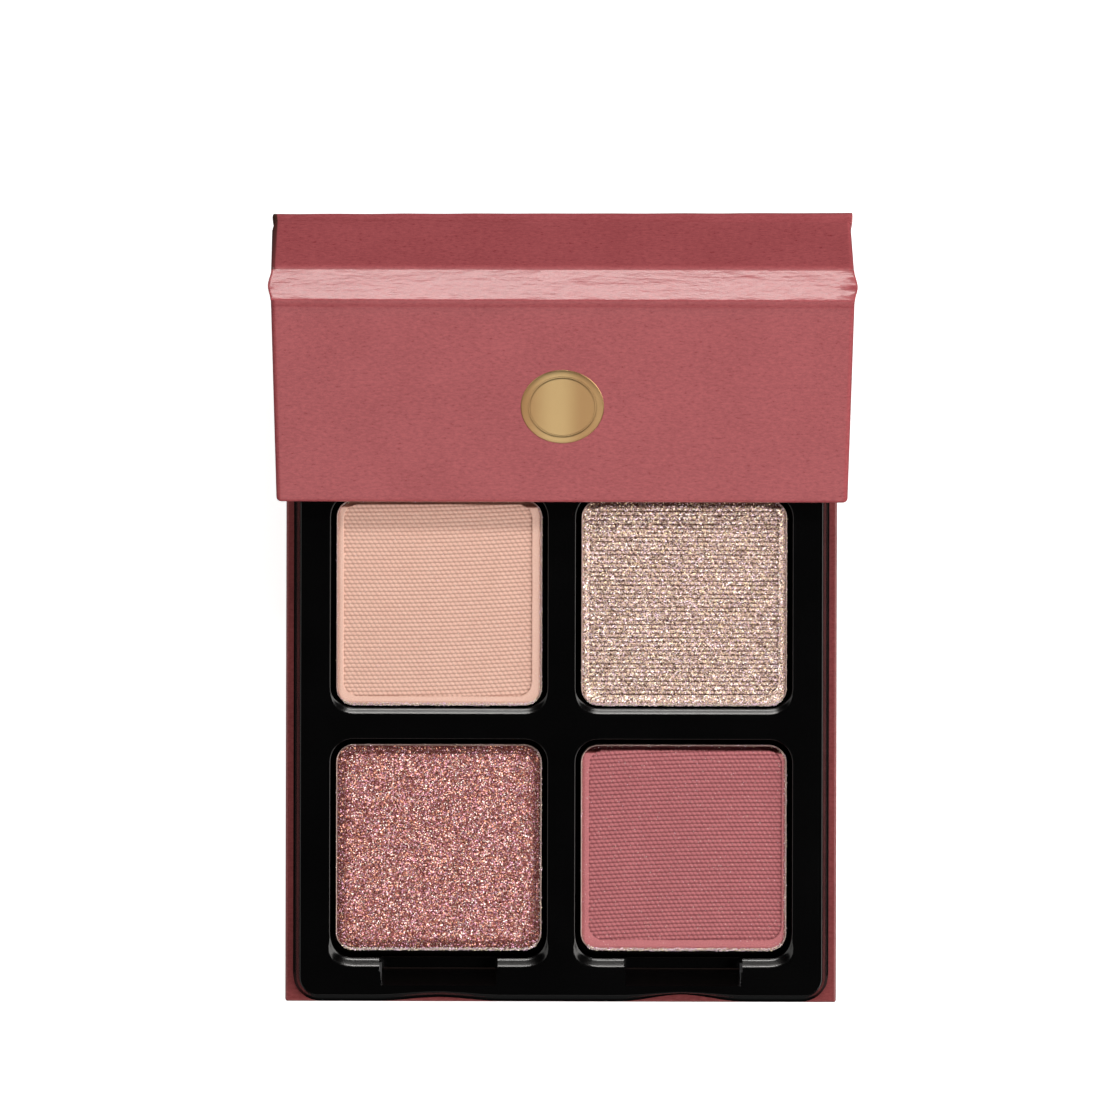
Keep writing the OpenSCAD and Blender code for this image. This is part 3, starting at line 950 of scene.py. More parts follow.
# How far the front edge of a well moves, how wide its ledge is and how it tilts.
LEDGES = {"rear": (-0.35, 0.8, math.radians(30.5)), "front": (0.3, 1.2, math.radians(35))}
RIM_R = 0.13
RIM_IN = 1.25
TRAY_R = 2.25
TRAY_WALL = 0.9
THUMB_HALF = 8.0
THUMB_RIM = 0.42
THUMB_FOOT = {"front_left": 0.5, "front_right": 0.9}
FOOT_SPARE = 0.22
FRONT_ZONE = 1.5
SCOOP_HALF = 7.2
SCOOP_LONG = 3.7
SCOOP_DEEP = 3.1
SCOOP_SLOPE = 1.6
SCOOP_WALL = 0.06
SCOOP_STEP = 0.3
SPOT_FRONT, SPOT_BACK = 0.7, 0.25

tray_low, tray_high = box_mm("tray")
land = tray_high[2]
skirt_h = land - tray_low[2]
pan_boxes = {name: box_mm(f"{name}_pan") for name in ("rear_left", "rear_right", "front_left", "front_right")}
pan_centres = {name: (low + high)[:2] / 2 for name, (low, high) in pan_boxes.items()}
pan_size = float(pan_boxes["rear_left"][1][0] - pan_boxes["rear_left"][0][0])
well_half = pan_size / 2 + PAN_CLEAR
well_floor = box_mm("rear_left_glue")[0][2]
scoop_end = float(pan_centres["front_left"][1]) - well_half
scoop_start = scoop_end - SCOOP_LONG


def scoop_depth(x, y):
    """How far a finger scoop presses the land down at a point."""
    drop = np.zeros(np.shape(x))
    for name in THUMB_FOOT:
        off = np.abs(x - pan_centres[name][0])
        inside = smooth((SCOOP_HALF + SCOOP_WALL - off) / SCOOP_WALL)
        ramp = np.clip((y - scoop_start) * SCOOP_SLOPE, 0, SCOOP_DEEP) * (y < scoop_end + 1)
        drop = np.maximum(drop, ramp * inside)
    return drop


def ledge_drop(share, tilt):
    """How far a ledge 1 mm wide has sunk at a share of its width: it bends, then runs straight."""
    sunk = share * share / (2 * LEDGE_BEND) if share < LEDGE_BEND else share - LEDGE_BEND / 2
    return sunk * math.tan(tilt)


print(f"wells {2 * well_half:.1f} mm, floor at {well_floor:.1f}, land at {land:.1f}")

# %% Loops and rings
CORNER_POINTS = 10
SIDE_POINTS = 72
RING_POINTS = 4 * (CORNER_POINTS + SIDE_POINTS - 1)


def loop(centre, half_x, half_y, radius, out=0.0):
    """Points round a rounded rectangle, anticlockwise, each moved outwards by out."""
    cores = [np.array([sx * (half_x - radius), sy * (half_y - radius)])
             for sx, sy in ((1, 1), (-1, 1), (-1, -1), (1, -1))]
    flat, away = [], []
    for quarter in range(4):
        for k in range(CORNER_POINTS):
            turn = math.pi / 2 * (quarter + k / (CORNER_POINTS - 1))
            away.append(np.array([math.cos(turn), math.sin(turn)]))
            flat.append(cores[quarter] + radius * away[-1])
        begin, end = flat[-1], cores[(quarter + 1) % 4] + radius * away[-1]
        for k in range(1, SIDE_POINTS):
            flat.append(begin + (end - begin) * k / SIDE_POINTS)
            away.append(away[-1])
    out = np.broadcast_to(np.asarray(out, float), len(flat))
    return np.array(flat) + np.array(away) * out[:, None] + np.array(centre)


def pan_loop(name, out):
    """Points round a pan, moved outwards by out."""
    return loop(pan_centres[name], pan_size / 2, pan_size / 2, PAN_R, out)


def at_height(flat, height):
    """Flat points set at a height, which may be one number or one for each point."""
    return np.column_stack([flat, np.broadcast_to(height, len(flat))])


def arc_steps(radius, steps):
    """How far out and how far down a rounded edge is, from its flat to its wall."""
    turns = [math.pi / 2 * k / steps for k in range(steps + 1)]
    return [(radius - radius * math.sin(t), radius - radius * math.cos(t)) for t in turns]


def ring_faces(first, second, count):
    """Quads between two rings of points, where second lies outside or below first."""
    return [[first + i, second + i, second + (i + 1) % count, first + (i + 1) % count] for i in range(count)]


class Rings:
    """Points and faces that grow ring by ring."""

    def __init__(self):
        self.points, self.faces, self.last = [], [], None

    def start(self, ring):
        """Adds a ring that is joined to nothing yet, and returns the number of its first point."""
        self.last, self.count = len(self.points), len(ring)
        self.points.extend(np.asarray(ring).tolist())
        return self.last

    def join(self, ring):
        """Adds a ring and joins it to the last one, if there is one."""
        before, first = self.last, self.start(ring)
        if before is not None:
            self.faces += ring_faces(before, first, self.count)

    def close(self, first, backwards=False):
        """Closes a ring with one face."""
        face = [first + i for i in range(self.count)]
        self.faces.append(face[::-1] if backwards else face)

    def close_ends(self):
        """Closes the first and the last ring."""
        self.close(0)
        self.close(self.last, backwards=True)


ring_ways = loop((0, 0), 1, 1, 0.5, 1.0) - loop((0, 0), 1, 1, 0.5, 0.0)
print(f"{RING_POINTS} points a ring")


# %% Tray mesh
def add_well(tray, name):
    """One well: its lip, which sinks towards a ledge and a scoop, its wall and its floor. Returns
    its outermost ring and the number of that ring's first point."""
    ledge_at, ledge_width, tilt = LEDGES[name.split("_")[0]]
    faces_front = smooth((-ring_ways[:, 1] - 0.2) / 0.7)
    shift, width = ledge_at * faces_front, ledge_width * faces_front

    def well_loop(out):
        return loop(pan_centres[name], well_half, well_half, WELL_R, out + shift)

    def lip(out, share, down):
        flat = well_loop(out)
        sunk = np.maximum(width * ledge_drop(share, tilt), scoop_depth(*flat.T))
        return at_height(flat, land - sunk - down)

    rim = lip(LIP_R + LIP_SPARE + width * LEDGE_SPARE, 0.0, 0.0)
    first = tray.start(rim)
    for share in LEDGE_SHARES:
        tray.join(lip(LIP_R + width * (1 - share), share, 0.0))
    for out, down in arc_steps(LIP_R, 4):
        tray.join(lip(out, 1.0, down))
    wall = lip(0.0, 1.0, LIP_R)
    for share in (0.5, 1.0):
        tray.join(at_height(wall[:, :2], wall[:, 2] + (well_floor + FLOOR_R - wall[:, 2]) * share))
    for out, up in ((-FLOOR_BEND, FLOOR_BEND), (-FLOOR_R, 0.0)):
        tray.join(at_height(well_loop(out), well_floor + up))
    tray.close(tray.last)
    return rim[:, :2], first


def skirt_loop(inset, down):
    """A ring of the rim or the skirt, with the thumb hollows pressed into its front."""
    centre, half = (tray_low + tray_high)[:2] / 2, (tray_high - tray_low)[:2] / 2
    flat = loop(centre, half[0], half[1], TRAY_R + RIM_IN, -inset)
    near_front = flat[:, 1] < centre[1] - half[1] + RIM_IN + FRONT_ZONE
    share = min(down / skirt_h, 1.0)
    for name, foot in THUMB_FOOT.items():
        hollow = smooth(1 - np.abs(flat[:, 0] - pan_centres[name][0]) / THUMB_HALF)
        flat[:, 1] += np.where(near_front, hollow * (THUMB_RIM + (foot - THUMB_RIM) * share), 0)
    flat[:, 1] -= np.where(near_front, FOOT_SPARE * share, 0)
    return flat


def scoop_spots(front_y):
    """Extra points of the land where it goes down into the scoops."""
    offs = {round(float(d), 4) for d in np.arange(0, SCOOP_HALF, SCOOP_STEP)}
    offs |= {SCOOP_HALF, SCOOP_HALF + SCOOP_WALL, SCOOP_HALF + SCOOP_STEP}
    last_y = scoop_end - LIP_R - sum(LEDGES["front"][:2]) * LEDGE_SPARE - SPOT_BACK
    spots = []
    for name in THUMB_FOOT:
        for x in sorted({pan_centres[name][0] + side * off for off in offs for side in (-1, 1)}):
            for y in np.arange(scoop_start - SCOOP_STEP, last_y, SCOOP_STEP):
                if y > front_y + SPOT_FRONT:
                    spots.append((float(x), float(y)))
    return np.array(spots)


def moulded_tray():
    """Wells, rim and skirt ring by ring. The skirt leans out and turns upright at its foot."""
    tray = Rings()
    outlines = [add_well(tray, name) for name in pan_boxes]
    outer = skirt_loop(RIM_IN + RIM_R + 0.1, 0.0)
    outlines.insert(0, (outer, tray.start(at_height(outer, land))))
    rim = [(RIM_IN + out, down) for out, down in arc_steps(RIM_R, 5)]
    skirt = [(RIM_IN * 0.55, skirt_h * 0.5), (0.3, skirt_h - 0.5), (0.0, skirt_h - 0.25), (0.0, skirt_h)]
    for inset, down in rim + skirt:
        tray.join(at_height(skirt_loop(inset, down), land - down))

    flat, ids, rounds = [], [], []
    for ring, first in outlines:
        rounds.append(list(range(len(flat), len(flat) + len(ring))))
        flat.extend(Vector(p) for p in ring)
        ids.extend(range(first, first + len(ring)))
    spots = scoop_spots(outer[:, 1].min())
    flat.extend(Vector(p) for p in spots)
    ids.extend(range(len(tray.points), len(tray.points) + len(spots)))
    tray.points.extend(at_height(spots, land - scoop_depth(*spots.T)).tolist())
    _, _, triangles, sources, _, insides = delaunay_2d_cdt(flat, [], rounds, 0, 1e-7)
    tray.faces += [[ids[sources[i][0]] for i in triangle]
                   for triangle, inside in zip(triangles, insides) if list(inside) == [0]]
    piece = sewn(add_piece("moulded_tray", tray.points, tray.faces, [tray_plastic]))
    settle(piece, ("SOLIDIFY", {"thickness": TRAY_WALL * MM, "offset": -1.0}))
    return carry(piece, "base", "tray_plastic", "tray")


moulded_tray()

# %% [markdown]
# ## The pans
# A pan is drawn from one disc of tinplate, so its foot is round, its wall is thin and its rim
# is a bright cut edge. One section is swept round the same rounded square for all four.

# %% Pans
PAN_WALL = 0.16
PAN_FLOOR = 0.3
PAN_FOOT_R = 0.7
PAN_RIM_R = 0.07
RIM_BELOW = 0.6
BEND_OUT, BEND_UP = 0.15, 0.12


def tin_pan(name):
    """One pan. Its section runs from the foot up the outside, over the rim and down to the floor."""
    low, high = pan_boxes[name]
    height = high[2] - low[2]
    foot, rim, rim_at = PAN_FOOT_R, PAN_RIM_R, height - PAN_RIM_R
    quarter = np.linspace(0, math.pi / 2, 4)
    section = [(-foot * (1 - math.sin(t)), foot * (1 - math.cos(t)))
               for t in np.linspace(0, math.pi / 2, 6)]
    section.append((0.0, rim_at - RIM_BELOW))
    section += [(-rim * (1 - math.cos(t)), rim_at + rim * math.sin(t)) for t in quarter]
    section += [(-PAN_WALL + rim * (1 - math.sin(t)), rim_at + rim * math.cos(t)) for t in quarter]
    section += [(-PAN_WALL, foot), (-PAN_WALL - BEND_OUT, PAN_FLOOR + BEND_UP), (-foot, PAN_FLOOR)]
    pan = Rings()
    for out, up in section:
        pan.join(at_height(pan_loop(name, out), low[2] + up))
    pan.close_ends()
    piece = add_piece(f"{name}_tin", pan.points, [face[::-1] for face in pan.faces], [tinplate])
    return carry(piece, "base", "tinplate", f"{name}_pan")


for name in pan_boxes:
    tin_pan(name)

# %% [markdown]
# ## Pressed powder
# A die covered with ribbed cloth presses the powder, so its face keeps the weave of the cloth:
# rows of small beads. The die is a little smaller than the pan, and some powder rises round it
# as a smooth margin. All of that follows a rule, so Geometry Nodes make it: a fine grid whose
# points are rounded to the pan's corners and lifted by the weave.


# %% Geometry Nodes kit
class Recipe(Tree):
    """A Geometry Nodes tree with named inputs."""

    def __init__(self, name):
        super().__init__(bpy.data.node_groups.new(name, "GeometryNodeTree"))
        for way in ("INPUT", "OUTPUT"):
            self.tree.interface.new_socket(name="Geometry", in_out=way, socket_type="NodeSocketGeometry")
        self.given = self.tree.nodes.new("NodeGroupInput")
        self.result = self.tree.nodes.new("NodeGroupOutput")
        self.ids = {}

    def size(self, name, kind="Float"):
        """Adds a named input and returns its wire."""
        socket = self.tree.interface.new_socket(
            name=name, in_out="INPUT", socket_type=f"NodeSocket{kind}")
        self.ids[name] = socket.identifier
        return Wire(self, self.given.outputs[name])

    def mesh_in(self):
        return Wire(self, self.given.outputs["Geometry"])

    def store(self, geometry, domain, name, value):
        """Gives every point or instance a number for a material to read."""
        return self.add("GeometryNodeStoreNamedAttribute", {"data_type": "FLOAT", "domain": domain},
                        {"Geometry": geometry, "Name": name, "Value": value})

    def end(self, geometry, material):
        """Realizes instances, sets the material and closes the tree."""
        real = self.add("GeometryNodeRealizeInstances", None, {0: geometry})
        smooth_mesh = self.add("GeometryNodeSetShadeSmooth", None, {0: real})
        done = self.add("GeometryNodeSetMaterial", None, {0: smooth_mesh, "Material": material})
        self.tree.links.new(done.socket, self.result.inputs["Geometry"])

    def make(self, name, values, source=None):
        """Runs the tree on a piece and keeps the result as a plain mesh."""
        mesh = source.copy() if source else bpy.data.meshes.new(name)
        made = bpy.data.objects.new(name, mesh)
        bpy.context.scene.collection.objects.link(made)
        modifier = made.modifiers.new("recipe", "NODES")
        modifier.node_group = self.tree
        for key, value in values.items():
            modifier[self.ids[key]] = value
        return settle(made)


print("Geometry Nodes kit ready")

# %% [markdown]
# The recipe's sizes have units: most are lengths in millimetres, two are counted per millimetre
# and the rest are plain numbers. left, right, ahead and behind are the widths of the smooth
# margin. gap is how far the powder drops behind it, and bow and slant bend and turn the rows.

# %% Powder recipe
UNITS = {
    **dict.fromkeys(("side", "spacing", "corner", "top", "bottom", "left", "right", "ahead", "behind",
                     "recess", "gap", "row_pitch", "bead_pitch", "rib", "grain"), MM),
    **dict.fromkeys(("bow", "grain_scale"), 1 / MM),
    **dict.fromkeys(("slant", "bead_share", "woven_share", "margin_shade", "seed"), 1.0),
}
ROUGH_SCALE, SLOW_SCALE = 3000.0, 260.0

# In metres: how far noise stirs things, and the widths over which they change.
EDGE_ROUGH, EDGE_SLOW = 0.00026, 0.00014
ROW_SLOW, BEAD_ROUGH, MARGIN_ROUGH = 0.00004, 0.0002, 0.00005
DIE_IN, DIE_OUT = -0.00005, 0.00007
BEHIND_WIDTH = 0.0003
RIM_WIDTH, RIM_SINK = 0.00035, 0.00012
STEP_HALF = 0.00004


def powder_recipe(material):
    """Pressed powder. The piece is made round the origin in X and Y, then moved to its centre."""
    r = Recipe("pressed_powder")
    size = SimpleNamespace(**{name: r.size(name) for name in UNITS})
    lines, centre = r.size("lines", "Int"), r.size("centre", "Vector")

    extent = size.side + size.spacing * 2
    grid = r.add("GeometryNodeMeshGrid", None,
                 {"Size X": extent, "Size Y": extent, "Vertices X": lines, "Vertices Y": lines})
    x, y, _ = r.add("GeometryNodeInputPosition").axes()
    half = size.side * 0.5
    is_foot = abs(x).most(abs(y)) > half + size.spacing * 0.4
    x, y = x.within(half), y.within(half)
    core = half - size.corner
    core_x, core_y = x.within(core), y.within(core)
    off_x, off_y = x - core_x, y - core_y
    length = (off_x * off_x + off_y * off_y).root()
    pull = abs(off_x).most(abs(off_y)) / length.most(1e-7)
    x, y = core_x + off_x * pull, core_y + off_y * pull
    place = r.vector(x, y, 0.0)

    def stirred(change, scale, detail):
        return r.add("ShaderNodeTexNoise", {"noise_dimensions": "4D"},
                     {"Vector": place, "W": size.seed + change, "Scale": scale, "Detail": detail})

    rough = stirred(0.0, ROUGH_SCALE, 2.0)
    slow = stirred(7.0, SLOW_SCALE, 2.0)
    fine = stirred(3.0, size.grain_scale, 1.0)

    # Distance from the edge of the die, which is below 0 where the die has pressed.
    die_r = size.corner * 0.9
    mid_x, mid_y = (size.left - size.right) * 0.5, (size.ahead - size.behind) * 0.5
    reach_x, reach_y = half - (size.left + size.right) * 0.5, half - (size.ahead + size.behind) * 0.5
    a = abs(x - mid_x) - (reach_x - die_r)
    b = abs(y - mid_y) - (reach_y - die_r)
    a_out, b_out = a.most(0.0), b.most(0.0)
    edge = (a_out * a_out + b_out * b_out).root() + a.most(b).least(0.0) - die_r
    edge = edge + (rough - 0.5) * EDGE_ROUGH + (slow - 0.5) * EDGE_SLOW
    pressed = edge.step(DIE_IN, DIE_OUT, 1.0, 0.0)

    # The weave: ribs, and beads along them that stand in every other row.
    row = (y - x * size.slant - x * x * size.bow + (slow - 0.5) * ROW_SLOW) / size.row_pitch
    bead = (x + (rough - 0.5) * BEAD_ROUGH) / size.bead_pitch + row * 0.5
    rib_shape = abs((row * math.pi).sine()) ** 0.85
    bead_shape = abs((bead * math.pi).sine()) ** 1.1
    woven = rib_shape * (1 - size.bead_share + bead_shape * size.bead_share) * (rough * 1.1 + 0.45)
    weave = fine.step(0.25, 0.7) * (1 - size.woven_share) + woven * size.woven_share
    face = size.top - size.recess + weave * size.rib + (fine - 0.5) * size.grain

    # The margin, which is soft at the wall of the pan and drops away behind.
    is_behind = (y - (mid_y + reach_y) + die_r * 0.25).step(0.0, BEHIND_WIDTH)
    rim_soft = (half - abs(x).most(abs(y))).step(0.0, RIM_WIDTH, -RIM_SINK, 0.0)
    margin = size.top + rim_soft + (rough - 0.5) * MARGIN_ROUGH
    margin = margin + (fine - 0.5) * size.grain * 0.6 - is_behind * size.gap
    height = margin + (face - margin) * pressed
    height = height + (size.bottom - height) * is_foot

    # What the material reads, as painted shade: the weave, darker in its gaps, a margin painted
    # darker by its own share, 0 in the gap behind, and a dark line painted at the edge of the die.
    # Painted shade on the margin, and 0 in the gap behind it.
    painted_margin = (1 - is_behind) * size.margin_shade
    near = edge + STEP_HALF
    # Painted shadow: a dark line along the step at the edge of the die.
    painted_step_shadow = near.step(-2 * STEP_HALF, 0.0) * near.step(0.0, 2 * STEP_HALF, 1.0, 0.0)
    shade = painted_margin + (weave - painted_margin) * pressed - painted_step_shadow * 0.45
    marked = r.store(grid, "POINT", "weave", shade)
    moved = r.add("GeometryNodeSetPosition", None,
                  {0: marked, "Position": r.vmaths("ADD", r.vector(x, y, height), centre)})
    r.end(moved, material)
    return r


print(f"a powder has {len(UNITS)} sizes")

# %% Cakes
POWDER_SIDE = 25.4
POWDER_R = 2.0
POWDER_RISE = 0.12
GRID_LINES = 296
TALC = dict(bead_share=0.6, recess=0.26, grain=0.012, grain_scale=1 / 0.12)


def pressed_powder(name, material, slot, **sizes):
    """One cake of powder in its pan, closed underneath."""
    low, high = box_mm(f"{name}_powder")
    x, y = pan_centres[name]
    sizes = {"side": POWDER_SIDE, "spacing": POWDER_SIDE / (GRID_LINES - 3), "corner": POWDER_R,
             "top": high[2] + POWDER_RISE, "bottom": low[2], "slant": 0.0, "bow": 0.0,
             "margin_shade": 0.75, "woven_share": 1.0, **sizes}
    values = {key: float(value * UNITS[key]) for key, value in sizes.items()}
    values.update(lines=GRID_LINES, centre=(float(x) * MM, float(y) * MM, 0.0))
    piece = powder_recipe(material).make(f"{name}_cake", values)
    return carry(sewn(piece, fill=True), "base", slot, f"{name}_powder")


cakes = {
    "rear_left": pressed_powder(
        "rear_left", peach, "powder_peach", **TALC, row_pitch=0.5, bead_pitch=0.603, rib=0.1,
        left=0.75, right=1.1, ahead=0.95, behind=0.35, gap=1.6, slant=0.035, bow=0.0016, seed=11),
    "rear_right": pressed_powder(
        "rear_right", champagne, "powder_champagne", row_pitch=0.547, bead_pitch=0.73, rib=0.2,
        left=0.83, right=0.88, ahead=1.15, behind=0.5, gap=0.8, bead_share=0.5, recess=0.25,
        grain=0.03, grain_scale=1 / 0.16, seed=23),
    "front_left": pressed_powder(
        "front_left", rose_glitter, "powder_rose_glitter", row_pitch=0.585, bead_pitch=1.0, rib=0.05,
        left=0.95, right=0.5, ahead=0.83, behind=0.94, gap=0.15, bead_share=0.4, recess=0.48,
        grain=0.04, grain_scale=1 / 0.16, margin_shade=0.22, woven_share=0.3, seed=37),
    "front_right": pressed_powder(
        "front_right", dusty_rose, "powder_dusty_rose", **TALC, row_pitch=0.5, bead_pitch=0.571, rib=0.12,
        left=0.86, right=0.4, ahead=1.15, behind=0.45, gap=3.0, slant=0.03, bow=-0.0014, seed=41),
}

# %% [markdown]
# ## Glitter and dust
# The bright flakes in the two shimmering powders are real pieces of cut film, each lying its own
# way. Pressing also leaves a little glitter dust on the rims of the pans, most of it in front.
# One recipe scatters flakes over any mesh.

# %% Flake recipe
FLAKE_SIDES = 5
FLAKE_GROWTH = {2: 0.45, 3: 1.15}
FULL_TURN = 6.28


def flake_recipe():
    """Small film discs scattered over the mesh that the recipe is run on."""
    r = Recipe("scattered_flakes")
    density, size, tilt = r.size("per square metre"), r.size("radius"), r.size("tilt")
    seed = r.size("seed", "Int")
    spread = r.add("GeometryNodeDistributePointsOnFaces", None,
                   {"Mesh": r.mesh_in(), "Density": density, "Seed": seed})
    disc = r.add("GeometryNodeMeshCircle", {"fill_type": "NGON"}, {"Vertices": FLAKE_SIDES, "Radius": size})
    turn = r.add("FunctionNodeRandomValue", {"data_type": "FLOAT_VECTOR"}, {"Seed": seed})
    lean = r.vmaths("MULTIPLY", r.vmaths("SUBTRACT", turn, (0.5, 0.5, 0.5)), r.vector(tilt, tilt, FULL_TURN))
    grow = r.add("FunctionNodeRandomValue", None, {**FLAKE_GROWTH, "Seed": seed}, 1)
    placed = r.add("GeometryNodeInstanceOnPoints", None,
                   {"Points": spread, "Instance": disc, "Rotation": lean, "Scale": grow})
    tint = r.add("FunctionNodeRandomValue", None, {2: 0.0, 3: 1.0, "Seed": seed}, 1)
    r.end(r.store(placed, "INSTANCE", "tint", tint), glitter_flake)
    return r


scatter = flake_recipe()
print("flake recipe ready")

# %% Sprinkles
FACE_DEPTH = 1.2
FACE_LIFT = 0.015
RIM_IN_OUT = (-0.34, 0.03)
RIM_LIFT = 0.01


def sprinkle(name, emitter, per_mm2, radius, tilt, seed, slot="powder_champagne"):
    """Flakes over an emitter mesh, as a piece on the base."""
    values = {"per square metre": per_mm2 / MM ** 2, "radius": radius * MM, "tilt": tilt, "seed": seed}
    return carry(scatter.make(name, values, emitter), "base", slot)


def face_of(name, inset):
    """The upper face of a cake, less a border, lifted a hair so that flakes lie on it."""
    x, y = [v * MM for v in pan_centres[name]]
    half = (POWDER_SIDE / 2 - inset) * MM
    made = bmesh.new()
    made.from_mesh(cakes[name].data)
    low = max(v.co.z for v in made.verts) - FACE_DEPTH * MM
    outside = [v for v in made.verts
               if abs(v.co.x - x) > half or abs(v.co.y - y) > half or v.co.z < low]
    bmesh.ops.delete(made, geom=outside, context="VERTS")
    for vert in made.verts:
        vert.co.z += FACE_LIFT * MM
    mesh = bpy.data.meshes.new(f"{name}_face")
    made.to_mesh(mesh)
    made.free()
    return mesh


def rim_band(pick):
    """A narrow band on the rims of all four pans, where pick(x, y) of its direction is true."""
    points, faces = [], []
    for name, (_, high) in pan_boxes.items():
        first = len(points)
        for out in RIM_IN_OUT:
            points.extend(at_height(pan_loop(name, out), high[2] + RIM_LIFT).tolist())
        quads = ring_faces(first, first + RING_POINTS, RING_POINTS)
        faces += [quad for quad, way in zip(quads, ring_ways) if pick(*way)]
    mesh = bpy.data.meshes.new("rim_band")
    mesh.from_pydata((np.array(points) * MM).tolist(), [], faces)
    return mesh


sprinkle("rose_flakes", face_of("front_left", 0.1), 6.5, 0.06, 1.4, 5, "powder_rose_glitter")
sprinkle("champagne_flakes", face_of("rear_right", 0.1), 5.0, 0.06, 1.4, 9)
sprinkle("peach_specks", face_of("rear_left", 0.4), 0.12, 0.05, 1.2, 12)
sprinkle("rose_specks", face_of("front_right", 0.4), 0.4, 0.045, 1.2, 15)
sprinkle("front_dust", rim_band(lambda x, y: y < -0.75), 80.0, 0.075, 1.3, 17)
sprinkle("side_dust", rim_band(lambda x, y: x > 0.8), 22.0, 0.065, 1.3, 18)
sprinkle("other_dust", rim_band(lambda x, y: True), 5.0, 0.055, 1.3, 19)

# %% [markdown]
# ## The foil stamp
# A plain disc of gold foil, stamped on to the front panel with one fine ring pressed into it near
# its edge. It is a turned section: rings of points round the disc's own axis.

# %% Foil stamp
FOIL_T = 0.05
FOIL_POINTS = 96
RING_SHARE = 0.8
RING_HALF = 0.22
RING_DEEP = 0.03
# The rim of the foil rolls over and sinks into the paper: how far in, and the height there.
ROLLED = ((0.08, 1.0), (0.02, 0.7), (0.0, 0.2), (0.0, -0.4))


def foil_section(radius):
    """How far out and how high the foil runs, with heights in thicknesses of the foil."""
    ring_at = radius * RING_SHARE
    section = [(0.001, 1.0), (ring_at - RING_HALF * 1.6, 1.0), (ring_at - RING_HALF, 1.0)]
    section += [(ring_at + RING_HALF * t, 1.0 - RING_DEEP / FOIL_T * (1 + math.cos(math.pi * t)) / 2)
                for t in np.linspace(-0.8, 0.8, 7)]
    return section + [(ring_at + RING_HALF, 1.0)] + [(radius - into, high) for into, high in ROLLED]


def foil_stamp():
    low, high = box_mm("foil_disc")
    distance = float(((low + high)[1:] / 2 - front.start) @ front.along)
    turns = [2 * math.pi * k / FOIL_POINTS for k in range(FOIL_POINTS)]
    disc = Rings()
    for out, rise in foil_section((high[0] - low[0]) / 2):
        ring = [[out * math.cos(turn), *front.at(distance - out * math.sin(turn), -rise * FOIL_T)]
                for turn in turns]
        disc.join(ring)
    disc.close_ends()
    piece = sewn(add_piece("foil_stamp", disc.points, disc.faces, [gold_foil]))
    return carry(piece, "front_panel", "gold_foil", "foil_disc")


foil_stamp()

# %% [markdown]
# ## Finishes on the CAD pieces that stay
# Boards, lining sheets, magnets, glue and tape have the right shape already. They keep their
# meshes and only get a better material in their slots.

# %% CAD finishes
cad_finishes = {"board": greyboard, "liner": lining_paper, "magnets": magnet_steel,
                "glue": clear_adhesive, "tape": clear_adhesive}
for node_name, node in frame["nodes"].items():
    for ending, material in cad_finishes.items():
        if node_name.endswith(ending):
            node.data.materials.clear()
            node.data.materials.append(material)
            print(f"{node_name} takes {material.name}")

# %% [markdown]
# ## Studio
# A pale floor, a small bright softbox behind the palette, broad dim ones at its sides and a
# weak one in front. Black gloss shows whatever is opposite the eye, so nothing hangs straight
# above: the land stays black and only its lips and the ridge of the lid pick up a light.

# %% Floor and world
FLOOR_HALF = 4000.0
FLOOR_GLOW = 0.02
WHITE = (1.0, 1.0, 1.0, 1.0)


def studio_floor():
    corners = [(x * FLOOR_HALF, y * FLOOR_HALF, 0) for x, y in ((-1, -1), (1, -1), (1, 1), (-1, 1))]
    glow = {"Roughness": 0.9, "Specular IOR Level": 0.1,
            "Emission Color": WHITE, "Emission Strength": 0.7}
    paint = finish("floor_paint", glow, lambda tree, place: {
        "Base Color": tree.mix(tree.noise(place, 3, 2), (0.9, 0.9, 0.9), (0.92, 0.92, 0.92))})
    floor = add_piece("floor", corners, [[0, 1, 2, 3]], [paint])
    floor.visible_diffuse = False
    floor.visible_glossy = False


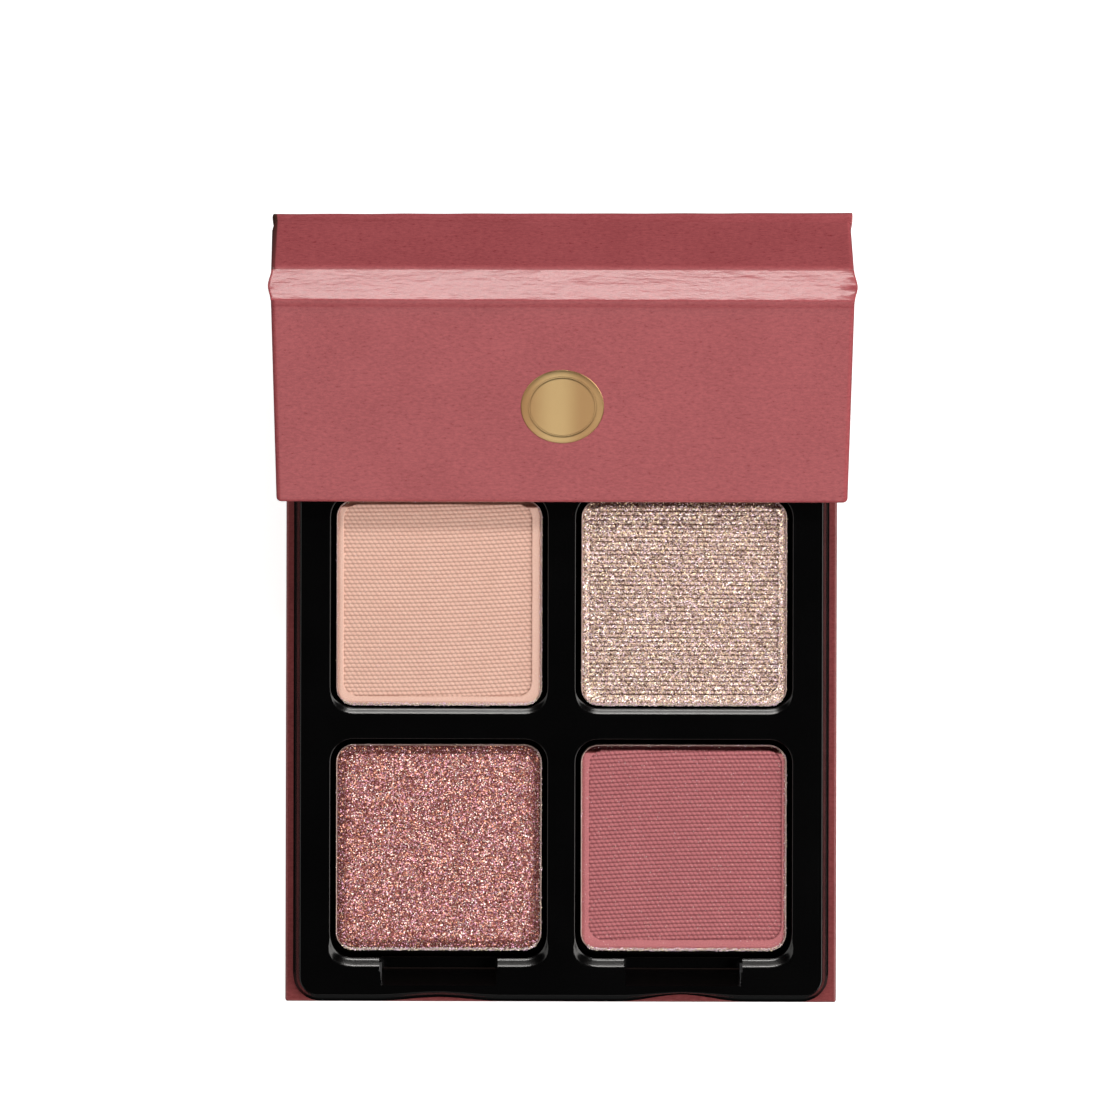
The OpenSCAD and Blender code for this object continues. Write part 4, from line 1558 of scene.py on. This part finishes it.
def studio_world():
    """A dark room that glows faintly below the horizon."""
    world = bpy.data.worlds.new("studio")
    bpy.context.scene.world = world
    world.use_nodes = True
    tree = Tree(world.node_tree)
    background = next(n for n in world.node_tree.nodes if n.type == "BACKGROUND")
    _, _, up = tree.add("ShaderNodeTexCoord", output="Generated").axes()
    world.node_tree.links.new(up.step(-0.3, 0.05, FLOOR_GLOW, 0.0).socket, background.inputs["Strength"])
    background.inputs["Color"].default_value = WHITE


studio_floor()
studio_world()
print("floor and world made")

# %% Softboxes
WARM = (1.0, 0.975, 0.94)
AIM = (0.0, 0.012, 0.01)


def softbox(name, azimuth, zenith, distance, width, height, radiance):
    """A rectangular light. Its centre lies at an angle round (0 is behind) and down from overhead."""
    light = bpy.data.lights.new(name, "AREA")
    light.shape = "RECTANGLE"
    light.size, light.size_y = width, height
    light.color = WARM
    light.energy = radiance * 4 * width * height
    made = bpy.data.objects.new(name, light)
    bpy.context.scene.collection.objects.link(made)
    turn, lean = math.radians(azimuth), math.radians(zenith)
    away = Vector((math.sin(turn) * math.sin(lean), math.cos(turn) * math.sin(lean), math.cos(lean)))
    made.location = Vector(AIM) + away * distance
    made.rotation_euler = away.to_track_quat("Z", "Y").to_euler()
    made.visible_camera = False
    print(f"{name}: {light.energy:.2f} W")


softbox("rear_light", azimuth=0, zenith=52, distance=1.0, width=0.38, height=0.14, radiance=16.6)
softbox("right_light", azimuth=98, zenith=54, distance=1.1, width=1.1, height=1.0, radiance=2.95)
softbox("left_light", azimuth=-102, zenith=54, distance=1.1, width=1.1, height=1.0, radiance=1.05)
softbox("front_light", azimuth=180, zenith=62, distance=1.2, width=0.8, height=0.5, radiance=0.95)

# %% Camera
EYE = (-0.001485, 0.0212, 0.6535)
ROLL = math.radians(0.14)

bpy.context.scene.view_settings.view_transform = "Standard"
camera_data = bpy.data.cameras.new("camera")
camera_data.sensor_width = 36.0
camera_data.lens = 167.8
camera_data.clip_start = 0.01
camera = bpy.data.objects.new("camera", camera_data)
camera.location = EYE
camera.rotation_euler = (0.0, 0.0, ROLL)
bpy.context.scene.collection.objects.link(camera)
bpy.context.scene.camera = camera
print(f"camera {camera_data.lens:.1f} mm, {EYE[2]:.2f} m above the floor")
